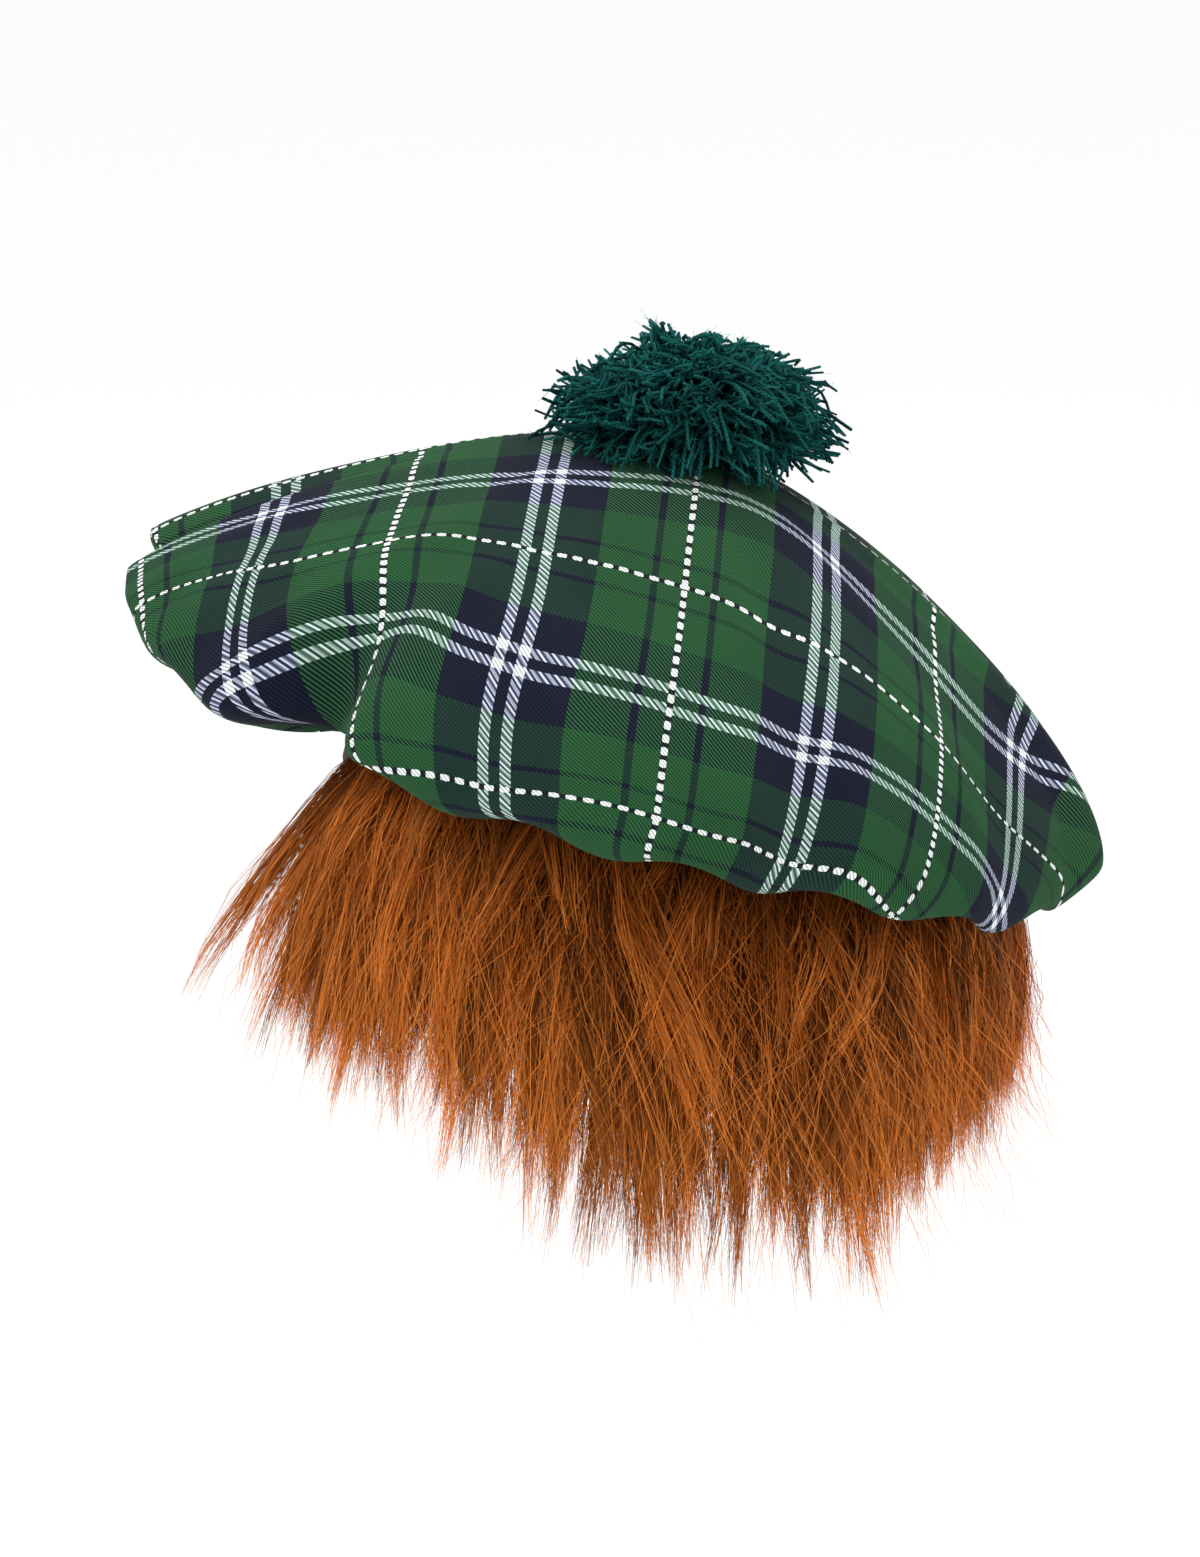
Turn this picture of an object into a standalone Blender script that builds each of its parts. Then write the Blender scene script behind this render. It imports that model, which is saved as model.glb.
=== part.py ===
"""A green tartan tam with a yarn pompom and a fringe of fake fur hair, as it is worn.

The cap is built upright around its headband, then leaned back as one. +X is the
wearer's back, +Y the wearer's right, +Z up. The origin is the middle of the head
opening, at the lower edge of the headband. Sizes are in metres and angles in degrees.
"""

import math
import random

import bmesh
import bpy
from mathutils import Matrix, Vector

# How the cap sits on the head.
BACKWARD_LEAN = 15.0

# Headband: a doubled cloth strip, an oval loop round the head.
HEAD_LENGTH = 0.185
HEAD_WIDTH = 0.160
BAND_HEIGHT = 0.026
BAND_WALL = 0.002

# Crown: one round of tartan, gathered into the headband.
CLOTH_WALL = 0.0015
CROWN_OVERHANG = 0.0505
CROWN_FORWARD = 0.024
CROWN_RISE = 0.087
SEAM_OVERLAP = 0.008
SEAM_TURN = 0.003
CROWN_RADIUS = HEAD_LENGTH / 2 + BAND_WALL + CROWN_OVERHANG

# Rim sections, from the wearer's back round the right side, front and left side.
# reach: the rim's distance from the crown's middle, as a share of CROWN_RADIUS.
# lift: the rim's height over the headband's top, as a share of CROWN_RISE.
# hang: how far the cloth bags below the rim before it turns in, as a share of CROWN_RISE.
# slack: how straight the crown falls to the rim, 1 like a cone and 0.5 like a ball.
RIM_SECTIONS = (
    # azimuth, reach, lift, hang, slack
    (0, 0.985, 0.095, 0.117, 0.71),
    (25, 0.985, 0.115, 0.117, 0.71),
    (55, 1.000, 0.080, 0.117, 0.76),
    (90, 1.000, 0.040, 0.117, 0.85),
    (125, 0.990, 0.060, 0.117, 0.97),
    (150, 0.990, 0.140, 0.117, 0.95),
    (163, 0.995, 0.210, 0.104, 0.93),
    (177, 0.990, 0.165, 0.104, 0.90),
    (190, 0.990, 0.104, 0.117, 0.85),
    (200, 0.960, 0.052, 0.117, 0.80),
    (213, 0.935, 0.000, 0.117, 0.72),
    (232, 0.950, 0.052, 0.117, 0.68),
    (245, 0.985, 0.026, 0.117, 0.64),
    (256, 1.000, 0.026, 0.117, 0.62),
    (265, 1.010, 0.039, 0.117, 0.62),
    (277, 1.010, 0.039, 0.117, 0.62),
    (295, 1.010, 0.026, 0.117, 0.62),
    (305, 1.005, 0.013, 0.117, 0.62),
    (315, 0.995, -0.007, 0.117, 0.60),
    (327, 0.975, -0.045, 0.117, 0.60),
    (340, 0.980, -0.010, 0.117, 0.63),
    (350, 1.000, 0.040, 0.117, 0.68),
)

# Folds that run up the crown from the rim, as valleys.
# depth: how deep the valley is at the rim, as a share of CROWN_RADIUS.
# spread: half the valley's width, in degrees. start: how far out from the middle it
# begins, as a share of the rim's reach.
CROWN_FOLDS = (
    # azimuth, depth, spread, start
    (174, 0.075, 9, 0.30),
    (230, 0.130, 12, 0.45),
    (292, 0.020, 10, 0.25),
    (357, 0.030, 10, 0.50),
    (130, 0.030, 13, 0.40),
    (84, 0.035, 13, 0.40),
    (38, 0.030, 13, 0.45),
)
FOLD_SWELL = 1.3

# How flat the crown is round its middle.
DOME_FLATNESS = 1.35

# Gathers on the under side, at the seam with the headband.
GATHER_COUNT = 20
GATHER_DEPTH = 0.0025

# The under side as shares: how full it bags below the rim, how far in from the rim to
# the seam it is then drawn, and how deep it sags there.
BAG_FULLNESS = 1.5
DRAW_IN = 0.6
DRAW_SAG = 0.4

# Pompom: yarn tufts round a tied core, seated on a small flat of the crown.
POMPOM_SEAT_RADIUS = 0.009
POMPOM_CORE_RADIUS = 0.012
POMPOM_WIDTH = 0.093
POMPOM_HEIGHT = 0.038
POMPOM_CLEARANCE = 0.001
# How boxy the pompom's cushion is, 2 like a ball.
CUSHION_FULLNESS = 2.3
# How far its core's middle stands over the seat, as a share of the core's radius.
CORE_SEATING = 0.85
# The shortest tuft, in core radii, and how much shorter than the cushion a tuft may be.
SHORTEST_TUFT = 1.35
TUFT_SHORTFALL = 0.10
# Steps to a core radius in the search for a tuft's reach.
TUFT_TRIALS = 20
# The tufts' sections, from root to tip.
TUFT_SECTIONS = (
    # way out, fullness
    (0.40, 0.93),
    (0.80, 0.88),
    (1.00, 0.60),
)

# Hair: locks on a backing strip round the sides and the back, open at the forehead.
HAIR_LENGTH = 0.124
HAIR_FLARE = 0.020
HAIR_SWEEP = 0.010
HAIR_END = 153.0
BACKING_WALL = 0.0016
BACKING_LOW = 0.002
LOCK_DEPTH = 0.005
LOCK_SPACE = 0.0015
LOCK_INSET = 0.0006
LOCK_COLUMNS = 34
LOCK_ROWS = 2
LOCK_STEPS = 5
# How much shorter a lock may be, and how long the lower row is beside the upper.
LOCK_SHORTFALL = 0.08
LOWER_ROW_LENGTH = 0.93
# How late a lock drops, 1 for a straight fall.
LOCK_DROP = 1.5
# How a lock widens on its way, and how much it narrows and thins towards its tip.
LOCK_SPREAD = 0.20
LOCK_NARROWING = 0.75
LOCK_THINNING = 0.60
TIP_SHARPNESS = 4
# Hair from the middle of the back to each temple: length, flare out from the head and
# sweep to the front, as shares of HAIR_LENGTH, HAIR_FLARE and HAIR_SWEEP.
# swell: how early a lock flares, 1 all the way down and 6 at its root.
HAIR_SECTIONS = (
    # azimuth, length, flare, sweep, swell
    (0, 0.42, 0.50, 0.00, 6.0),
    (30, 0.52, 0.54, 0.00, 5.0),
    (60, 0.84, 0.70, 0.00, 4.0),
    (90, 1.00, 0.85, 0.20, 4.0),
    (120, 0.76, 1.10, 0.60, 3.0),
    (153, 0.68, 1.55, 1.20, 2.3),
)

# Gap between pieces that are sewn or laid against each other.
SEWN_GAP = 0.0003

# The rings round the cap have four columns to a gather.
HOOP_SEGMENTS = 4 * GATHER_COUNT
CROWN_TOP_RINGS = 11
CROWN_UNDER_RINGS = 4
# How much the top's rings crowd towards the rim, 1 for none.
RING_CROWDING = 1.6


def ease_between(rows, value):
    """The table's row at a value of its first column, eased between neighbours."""
    for low, high in zip(rows, rows[1:]):
        if low[0] <= value <= high[0]:
            share = (value - low[0]) / (high[0] - low[0])
            ease = share * share * (3 - 2 * share)
            return [a + (b - a) * ease for a, b in zip(low[1:], high[1:])]
    return list(rows[-1][1:])


def rim_section(azimuth):
    """Reach, lift, hang and slack of the rim at an azimuth."""
    first = RIM_SECTIONS[0]
    return ease_between([*RIM_SECTIONS, (first[0] + 360, *first[1:])], azimuth % 360)


def fold_depth(azimuth, out):
    """How far the folds pull the cloth in, at an azimuth and a share of the way out."""
    total = 0.0
    for fold_azimuth, depth, spread, start in CROWN_FOLDS:
        turn = abs((azimuth - fold_azimuth + 180) % 360 - 180)
        if turn < spread and out > start:
            across = math.cos(turn / spread * math.pi / 2) ** 2
            along = ((out - start) / (1 - start)) ** FOLD_SWELL
            total += depth * CROWN_RADIUS * across * along
    return total


def band_outline(azimuth, offset):
    """A point of the oval head outline, moved out by offset."""
    angle = math.radians(azimuth)
    return (
        (HEAD_LENGTH / 2 + offset) * math.cos(angle),
        (HEAD_WIDTH / 2 + offset) * math.sin(angle),
    )


def crown_top_point(azimuth, out):
    """A point of the crown's outer face, out from 0 at the pompom's seat to 1 at the rim."""
    angle = math.radians(azimuth)
    reach, lift, _, slack = rim_section(azimuth)
    radius = POMPOM_SEAT_RADIUS + out * (reach * CROWN_RADIUS - POMPOM_SEAT_RADIUS)
    rise = lift + (1 - lift) * (1 - out**DOME_FLATNESS) ** slack
    height = BAND_HEIGHT + rise * CROWN_RISE
    pull = fold_depth(azimuth, out)
    radius -= pull * out**2
    height -= pull * (1 - out**2)
    return Vector((-CROWN_FORWARD + radius * math.cos(angle), radius * math.sin(angle), height))


def seam_point(azimuth, height):
    """A point of the crown's outer face where it lies on the headband's outside."""
    return Vector((*band_outline(azimuth, BAND_WALL + SEWN_GAP + CLOTH_WALL), height))


def crown_under_point(azimuth, inward):
    """A point of the crown's under side, inward from 0 at the rim to 1 at the seam."""
    rim = crown_top_point(azimuth, 1.0)
    hang = rim_section(azimuth)[2] * CROWN_RISE
    seam = seam_point(azimuth, BAND_HEIGHT + SEAM_TURN)
    bagged = rim + Vector((0, 0, -BAG_FULLNESS * hang))
    drawn_in = rim.lerp(seam, DRAW_IN)
    drawn_in.z = seam.z - DRAW_SAG * hang
    a, b = 1 - inward, inward
    point = a**3 * rim + 3 * a * a * b * bagged + 3 * a * b * b * drawn_in + b**3 * seam
    ripple = math.sin(math.pi * inward) * math.cos(math.radians(azimuth * GATHER_COUNT))
    point.z -= GATHER_DEPTH * ripple
    return point


def crown_height(x, y):
    """Height of the crown's outer face over a point of the ground."""
    azimuth = math.degrees(math.atan2(y, x + CROWN_FORWARD))
    rim_radius = rim_section(azimuth)[0] * CROWN_RADIUS
    radius = math.hypot(x + CROWN_FORWARD, y)
    out = (radius - POMPOM_SEAT_RADIUS) / (rim_radius - POMPOM_SEAT_RADIUS)
    return crown_top_point(azimuth, min(max(out, 0.0), 1.0)).z


def cloth_material(name, colour, roughness):
    """A plain cloth or fibre material."""
    material = bpy.data.materials.new(name)
    material.use_nodes = True
    shader = material.node_tree.nodes["Principled BSDF"]
    shader.inputs["Base Color"].default_value = (*colour, 1.0)
    shader.inputs["Roughness"].default_value = roughness
    shader.inputs["Metallic"].default_value = 0.0
    material.diffuse_color = (*colour, 1.0)
    return material


def add_part(name, bm, material, parent):
    """Make a bmesh into a named object that leans back with the cap."""
    mesh = bpy.data.meshes.new(name)
    bm.to_mesh(mesh)
    bm.free()
    mesh.materials.append(material)
    mesh.shade_smooth()
    obj = bpy.data.objects.new(name, mesh)
    obj.parent = parent
    bpy.context.scene.collection.objects.link(obj)
    return obj


def start_hoop(bm, filled):
    """A ring of vertices round the cap that know their azimuth, with the layer."""
    azimuths = bm.verts.layers.float.new("azimuth")
    ring = bmesh.ops.create_circle(
        bm, cap_ends=filled, cap_tris=filled, segments=HOOP_SEGMENTS, radius=POMPOM_SEAT_RADIUS
    )
    for vert in ring["verts"]:
        vert[azimuths] = math.degrees(math.atan2(vert.co.y, vert.co.x))
    return azimuths


def grow_hoop(bm, edges, azimuths, place):
    """Extrude a ring of edges to where place(azimuth) puts them, and return the new ring."""
    grown = bmesh.ops.extrude_edge_only(bm, edges=edges)["geom"]
    for item in grown:
        if isinstance(item, bmesh.types.BMVert):
            item.co = place(item[azimuths])
    return [
        item for item in grown if isinstance(item, bmesh.types.BMEdge) and len(item.link_faces) == 1
    ]


def build_crown(parent):
    """The tartan round, from the pompom's seat over the rim and under to the headband."""
    top_middle = Vector((-CROWN_FORWARD, 0, BAND_HEIGHT + CROWN_RISE))
    bm = bmesh.new()
    azimuths = start_hoop(bm, True)
    bmesh.ops.translate(bm, verts=bm.verts, vec=top_middle)
    ring = [edge for edge in bm.edges if edge.is_boundary]
    for step in range(1, CROWN_TOP_RINGS + 1):
        out = 1 - (1 - step / CROWN_TOP_RINGS) ** RING_CROWDING
        ring = grow_hoop(bm, ring, azimuths, lambda azimuth, out=out: crown_top_point(azimuth, out))
    for step in range(1, CROWN_UNDER_RINGS + 1):
        inward = step / CROWN_UNDER_RINGS
        ring = grow_hoop(
            bm, ring, azimuths, lambda azimuth, inward=inward: crown_under_point(azimuth, inward)
        )
    seam_low = BAND_HEIGHT - SEAM_OVERLAP
    grow_hoop(bm, ring, azimuths, lambda azimuth: seam_point(azimuth, seam_low))
    bmesh.ops.recalc_face_normals(bm, faces=bm.faces)
    bm.normal_update()
    seat = min(bm.faces, key=lambda face: (face.calc_center_median() - top_middle).length)
    if seat.normal.z < 0:
        bmesh.ops.reverse_faces(bm, faces=bm.faces)
    crown = add_part("crown", bm, cloth_material("tartan", (0.022, 0.062, 0.040), 0.9), parent)
    wall = crown.modifiers.new("cloth wall", "SOLIDIFY")
    wall.thickness = CLOTH_WALL
    wall.offset = -1
    wall.use_even_offset = False


def build_headband(parent):
    """The oval headband, with its foot at the origin's height."""
    bm = bmesh.new()
    azimuths = start_hoop(bm, False)
    for vert in bm.verts:
        vert.co = Vector((*band_outline(vert[azimuths], 0.0), 0.0))
    inner_foot = list(bm.edges)
    ring = inner_foot
    for offset, height in ((BAND_WALL, 0.0), (BAND_WALL, BAND_HEIGHT), (0.0, BAND_HEIGHT)):
        ring = grow_hoop(
            bm,
            ring,
            azimuths,
            lambda azimuth, offset=offset, height=height: Vector(
                (*band_outline(azimuth, offset), height)
            ),
        )
    bmesh.ops.bridge_loops(bm, edges=[*inner_foot, *ring])
    bmesh.ops.recalc_face_normals(bm, faces=bm.faces)
    add_part("headband", bm, cloth_material("headband cloth", (0.035, 0.020, 0.016), 0.9), parent)


def tuft_limit(direction, centre):
    """How far a tuft may reach: to the face of the upright cushion or just over the crown."""
    half_width = POMPOM_WIDTH / 2
    half_height = POMPOM_HEIGHT - (centre.z - BAND_HEIGHT - CROWN_RISE)
    upright = Matrix.Rotation(math.radians(BACKWARD_LEAN), 3, "Y") @ direction
    across = math.hypot(upright.x, upright.y) / half_width
    upward = abs(upright.z) / half_height
    limit = (across**CUSHION_FULLNESS + upward**CUSHION_FULLNESS) ** (-1 / CUSHION_FULLNESS)
    reach = POMPOM_CORE_RADIUS
    step = POMPOM_CORE_RADIUS / TUFT_TRIALS
    while reach + step < limit:
        point = centre + direction * (reach + step)
        if point.z < crown_height(point.x, point.y) + POMPOM_CLEARANCE:
            return reach
        reach += step
    return limit


def build_pompom(parent):
    """A flattened yarn pompom that droops over the crown's middle."""
    rng = random.Random(7)
    seat = BAND_HEIGHT + CROWN_RISE + SEWN_GAP
    centre = Vector((-CROWN_FORWARD, 0, seat + CORE_SEATING * POMPOM_CORE_RADIUS))
    bm = bmesh.new()
    bmesh.ops.create_icosphere(
        bm, subdivisions=2, radius=POMPOM_CORE_RADIUS, matrix=Matrix.Translation(centre)
    )
    roots = list(bm.faces)
    tied = [vert for vert in bm.verts if vert.co.z < seat]
    for root in roots:
        corners = [(vert.co - centre).normalized() for vert in root.verts]
        limits = [tuft_limit(corner, centre) for corner in corners]
        middle = (root.calc_center_median() - centre).normalized()
        tip = tuft_limit(middle, centre) * rng.uniform(1 - TUFT_SHORTFALL, 1)
        if tip < SHORTEST_TUFT * POMPOM_CORE_RADIUS:
            continue
        face = root
        for way_out, fullness in TUFT_SECTIONS:
            reach = POMPOM_CORE_RADIUS + (tip - POMPOM_CORE_RADIUS) * way_out
            face = bmesh.ops.extrude_discrete_faces(bm, faces=[face])["faces"][0]
            for vert, corner, limit in zip(face.verts, corners, limits):
                vert.co = centre + middle.lerp(corner, fullness) * min(reach, limit)
    for vert in tied:
        vert.co.z = seat
    bmesh.ops.recalc_face_normals(bm, faces=bm.faces)
    add_part("pompom", bm, cloth_material("teal yarn", (0.004, 0.055, 0.055), 0.95), parent)


def grow_lock(bm, root, azimuths, upper, down, rng):
    """Extrude one lock of hair from a face of the backing strip."""
    azimuth = sum(vert[azimuths] for vert in root.verts) / len(root.verts)
    angle = math.radians(azimuth)
    radial = Vector((math.cos(angle) / HEAD_LENGTH, math.sin(angle) / HEAD_WIDTH, 0)).normalized()
    along = Vector((-radial.y, radial.x, 0))
    length, flare, sweep, swell = ease_between(HAIR_SECTIONS, abs(azimuth))
    length *= HAIR_LENGTH * rng.uniform(1 - LOCK_SHORTFALL, 1)
    length *= 1 if upper else LOWER_ROW_LENGTH
    flare = flare * HAIR_FLARE - (0 if upper else LOCK_DEPTH + LOCK_SPACE)
    sweep *= math.copysign(HAIR_SWEEP, azimuth)
    centre = root.calc_center_median()
    signs = [
        (math.copysign(1, (vert.co - centre).dot(along)), math.copysign(1, vert.co.z - centre.z))
        for vert in root.verts
    ]
    root_width = 2 * abs((root.verts[0].co - centre).dot(along))

    def path(share):
        out = radial * flare * (1 - (1 - share) ** swell)
        return centre + out + down * length * share**LOCK_DROP + along * sweep * share**2

    face = root
    near = 0.25 / LOCK_STEPS
    for step in range(1, LOCK_STEPS + 1):
        share = step / LOCK_STEPS
        heading = (path(min(share + near, 1)) - path(share - near)).normalized()
        thick = heading.cross(along).normalized()
        taper = share**TIP_SHARPNESS
        width = root_width * (1 + LOCK_SPREAD * share) * (1 - LOCK_NARROWING * taper)
        depth = LOCK_DEPTH * (1 - LOCK_THINNING * taper)
        face = bmesh.ops.extrude_discrete_faces(bm, faces=[face])["faces"][0]
        for vert, (side, up) in zip(face.verts, signs):
            vert.co = path(share) + along * side * width / 2 + thick * up * depth / 2


def build_hair(parent):
    """Locks of hair, grown from the faces of a backing strip on the headband's outside."""
    rng = random.Random(11)
    down = Matrix.Rotation(math.radians(-BACKWARD_LEAN), 3, "Y") @ Vector((0, 0, -1))
    half_column = math.radians(HAIR_END / LOCK_COLUMNS)
    sagitta = HEAD_LENGTH / 2 * (1 - math.cos(half_column))
    inner = BAND_WALL + SEWN_GAP + sagitta
    backing_high = BAND_HEIGHT - SEAM_OVERLAP - SEWN_GAP
    bm = bmesh.new()
    azimuths = bm.verts.layers.float.new("azimuth")
    bmesh.ops.create_grid(bm, x_segments=LOCK_COLUMNS, y_segments=LOCK_ROWS, size=1)
    for vert in bm.verts:
        vert[azimuths] = vert.co.x * HAIR_END
        height = BACKING_LOW + (backing_high - BACKING_LOW) * (vert.co.y + 1) / 2
        vert.co = Vector((*band_outline(vert[azimuths], inner), height))
    grown = bmesh.ops.extrude_face_region(bm, geom=list(bm.faces))["geom"]
    for item in grown:
        if isinstance(item, bmesh.types.BMVert):
            item.co = Vector((*band_outline(item[azimuths], inner + BACKING_WALL), item.co.z))
    bmesh.ops.recalc_face_normals(bm, faces=bm.faces)
    roots = [item for item in grown if isinstance(item, bmesh.types.BMFace)]
    bmesh.ops.inset_individual(bm, faces=roots, thickness=LOCK_INSET)
    middle_height = (backing_high + BACKING_LOW) / 2
    for root in roots:
        grow_lock(bm, root, azimuths, root.calc_center_median().z > middle_height, down, rng)
    bmesh.ops.recalc_face_normals(bm, faces=bm.faces)
    add_part("hair_fringe", bm, cloth_material("ginger hair", (0.240, 0.070, 0.018), 0.7), parent)


for old in list(bpy.data.objects):
    bpy.data.objects.remove(old, do_unlink=True)

lean = bpy.data.objects.new("cap lean", None)
lean.rotation_euler = (0, math.radians(BACKWARD_LEAN), 0)
bpy.context.scene.collection.objects.link(lean)
build_headband(lean)
build_crown(lean)
build_pompom(lean)
build_hair(lean)
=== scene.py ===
"""A green tartan tam with a yarn pompom and a fringe of fake fur hair, dressed round its CAD frame.

Lengths are in metres and angles in degrees. Each piece is built upright round the headband,
as the cap is cut and sewn, and then leaned back with the cap about the origin.
"""

import math

import bmesh
import bpy
import numpy as np
from mathutils import Matrix, Vector, noise


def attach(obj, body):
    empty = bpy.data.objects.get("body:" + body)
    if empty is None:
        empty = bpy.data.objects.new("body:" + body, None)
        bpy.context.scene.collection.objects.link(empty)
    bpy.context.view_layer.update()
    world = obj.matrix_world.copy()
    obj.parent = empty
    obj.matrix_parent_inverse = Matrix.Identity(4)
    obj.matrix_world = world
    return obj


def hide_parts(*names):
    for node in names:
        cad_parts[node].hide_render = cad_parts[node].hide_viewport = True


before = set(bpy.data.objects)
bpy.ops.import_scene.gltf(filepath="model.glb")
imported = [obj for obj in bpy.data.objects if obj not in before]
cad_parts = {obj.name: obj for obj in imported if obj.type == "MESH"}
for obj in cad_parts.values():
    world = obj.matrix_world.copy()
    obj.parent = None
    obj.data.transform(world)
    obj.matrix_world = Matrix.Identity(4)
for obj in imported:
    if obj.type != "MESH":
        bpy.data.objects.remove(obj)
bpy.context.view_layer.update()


# ---------------------------------------------------------------------------------------
# Camera, floor and lights. The cap is seen from its left side and a little from above,
# against a plain pale floor, in soft studio light from large lamps.
IMAGE_HEIGHT = 1557
CAMERA_DISTANCE = 1.6
CAMERA_ELEVATION = 12
CAMERA_LENS = 128.45
# How far right of and below the frame's middle the origin lies, in pixels.
FRAMING_RIGHT = 60
FRAMING_DOWN = 61.5
FLOOR_HEIGHT = -0.34
FLOOR_RADIUS = 16

camera = bpy.data.objects.new("camera", bpy.data.cameras.new("camera"))
bpy.context.scene.collection.objects.link(camera)
bpy.context.scene.camera = camera
elevation = math.radians(CAMERA_ELEVATION)
camera.location = (
    0,
    -CAMERA_DISTANCE * math.cos(elevation),
    CAMERA_DISTANCE * math.sin(elevation),
)
camera.rotation_euler = (math.pi / 2 - elevation, 0, 0)
camera.data.lens = CAMERA_LENS
camera.data.shift_x = -FRAMING_RIGHT / IMAGE_HEIGHT
camera.data.shift_y = FRAMING_DOWN / IMAGE_HEIGHT
camera.data.clip_start = 0.05
camera.data.clip_end = 100

bm = bmesh.new()
bmesh.ops.create_circle(bm, cap_ends=True, segments=96, radius=FLOOR_RADIUS)
bmesh.ops.translate(bm, verts=bm.verts, vec=(0, 0, FLOOR_HEIGHT))
floor_mesh = bpy.data.meshes.new("floor")
bm.to_mesh(floor_mesh)
bm.free()
floor = bpy.data.objects.new("floor", floor_mesh)
bpy.context.scene.collection.objects.link(floor)
floor_material = bpy.data.materials.new("pale floor")
floor_material.use_nodes = True
floor_shader = floor_material.node_tree.nodes["Principled BSDF"]
floor_shader.inputs["Base Color"].default_value = (0.9, 0.9, 0.9, 1)
floor_shader.inputs["Roughness"].default_value = 0.9
floor_shader.inputs["Specular IOR Level"].default_value = 0.1
floor_mesh.materials.append(floor_material)

world = bpy.data.worlds.new("studio")
bpy.context.scene.world = world
world.use_nodes = True
sky = world.node_tree.nodes["Background"]
sky.inputs["Strength"].default_value = 1.0
sky_place = world.node_tree.nodes.new("ShaderNodeTexCoord")
sky_height = world.node_tree.nodes.new("ShaderNodeSeparateXYZ")
sky_ramp = world.node_tree.nodes.new("ShaderNodeValToRGB")
sky_ramp.color_ramp.elements[0].color = (0.42, 0.42, 0.43, 1)
sky_ramp.color_ramp.elements[1].color = (1.42, 1.42, 1.42, 1)
world.node_tree.links.new(sky_place.outputs["Generated"], sky_height.inputs[0])
world.node_tree.links.new(sky_height.outputs[2], sky_ramp.inputs[0])
world.node_tree.links.new(sky_ramp.outputs[0], sky.inputs["Color"])

for lamp_name, place, size, power in (
    ("key lamp", (-1.3, -1.7, 1.9), 1.0, 15),
    ("fill lamp", (1.7, -1.5, 0.9), 1.4, 4),
    ("top lamp", (0.2, 0.3, 2.2), 1.2, 7),
):
    lamp = bpy.data.objects.new(lamp_name, bpy.data.lights.new(lamp_name, "AREA"))
    lamp.data.shape = "DISK"
    lamp.data.size = size
    lamp.data.energy = power
    lamp.location = place
    lamp.rotation_euler = (-Vector(place)).to_track_quat("-Z", "Y").to_euler()
    bpy.context.scene.collection.objects.link(lamp)

bpy.context.scene.view_settings.view_transform = "Standard"


# ---------------------------------------------------------------------------------------
# Headband: a strip of dark brown cloth folded double round its foot, an oval loop round
# the head. Both layers show from below, with a row of topstitching above the fold.
BACKWARD_LEAN = 15
HEAD_LENGTH = 0.185
HEAD_WIDTH = 0.160
BAND_HEIGHT = 0.026
BAND_WALL = 0.002
BAND_PLY = 0.0008
BAND_SEGMENTS = 240
BAND_WEAVE_SCALE = 620.0
BAND_WEAVE_RELIEF = 0.00012
BAND_BROWNS = ((0.024, 0.013, 0.010, 1), (0.060, 0.034, 0.026, 1))
BAND_THREAD_BROWN = (0.050, 0.030, 0.024, 1)


def band_outline(azimuth, offset):
    """A point of the oval head outline, moved out by offset."""
    angle = math.radians(azimuth)
    return (
        (HEAD_LENGTH / 2 + offset) * math.cos(angle),
        (HEAD_WIDTH / 2 + offset) * math.sin(angle),
    )


def add_piece(name, mesh, material):
    """Make a mesh into a shown piece that leans back with the cap and rides on it."""
    mesh.transform(Matrix.Rotation(math.radians(BACKWARD_LEAN), 4, "Y"))
    mesh.materials.append(material)
    mesh.shade_smooth()
    piece = bpy.data.objects.new(name, mesh)
    bpy.context.scene.collection.objects.link(piece)
    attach(piece, "root")
    return piece


def start_hoop(bm, segments):
    """A ring of edges round the cap whose vertices know their azimuth."""
    azimuths = bm.verts.layers.float.new("azimuth")
    bmesh.ops.create_circle(bm, segments=segments, radius=1)
    for vert in bm.verts:
        vert[azimuths] = math.degrees(math.atan2(vert.co.y, vert.co.x))
    return azimuths


def grow_hoop(bm, edges, azimuths, place):
    """Extrude a ring of edges to where place(azimuth) puts them, and return the new ring."""
    grown = bmesh.ops.extrude_edge_only(bm, edges=edges)["geom"]
    for item in grown:
        if isinstance(item, bmesh.types.BMVert):
            item.co = place(item[azimuths])
    return [
        item for item in grown if isinstance(item, bmesh.types.BMEdge) and len(item.link_faces) == 1
    ]


def node_after(tree, kind, **settings):
    """Add a node with its settings, and values for its inputs under their index."""
    node = tree.nodes.new(kind)
    for name, value in settings.items():
        if name == "inputs":
            for index, given in value.items():
                if isinstance(given, bpy.types.NodeSocket):
                    tree.links.new(given, node.inputs[index])
                else:
                    node.inputs[index].default_value = given
        else:
            setattr(node, name, value)
    return node


def calc(tree, operation, *values):
    """The result of a math node on numbers or sockets."""
    return node_after(
        tree, "ShaderNodeMath", operation=operation, inputs=dict(enumerate(values))
    ).outputs[0]


def blended(tree, share, first, second, blend="MIX"):
    """Two colours mixed by a share."""
    return node_after(
        tree,
        "ShaderNodeMix",
        data_type="RGBA",
        blend_type=blend,
        inputs={0: share, 6: first, 7: second},
    ).outputs[2]


def noise_of(tree, where, scale, detail=2.0, roughness=0.5):
    """The value of a noise at a place."""
    return node_after(
        tree,
        "ShaderNodeTexNoise",
        inputs={"Vector": where, "Scale": scale, "Detail": detail, "Roughness": roughness},
    ).outputs[0]


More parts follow.
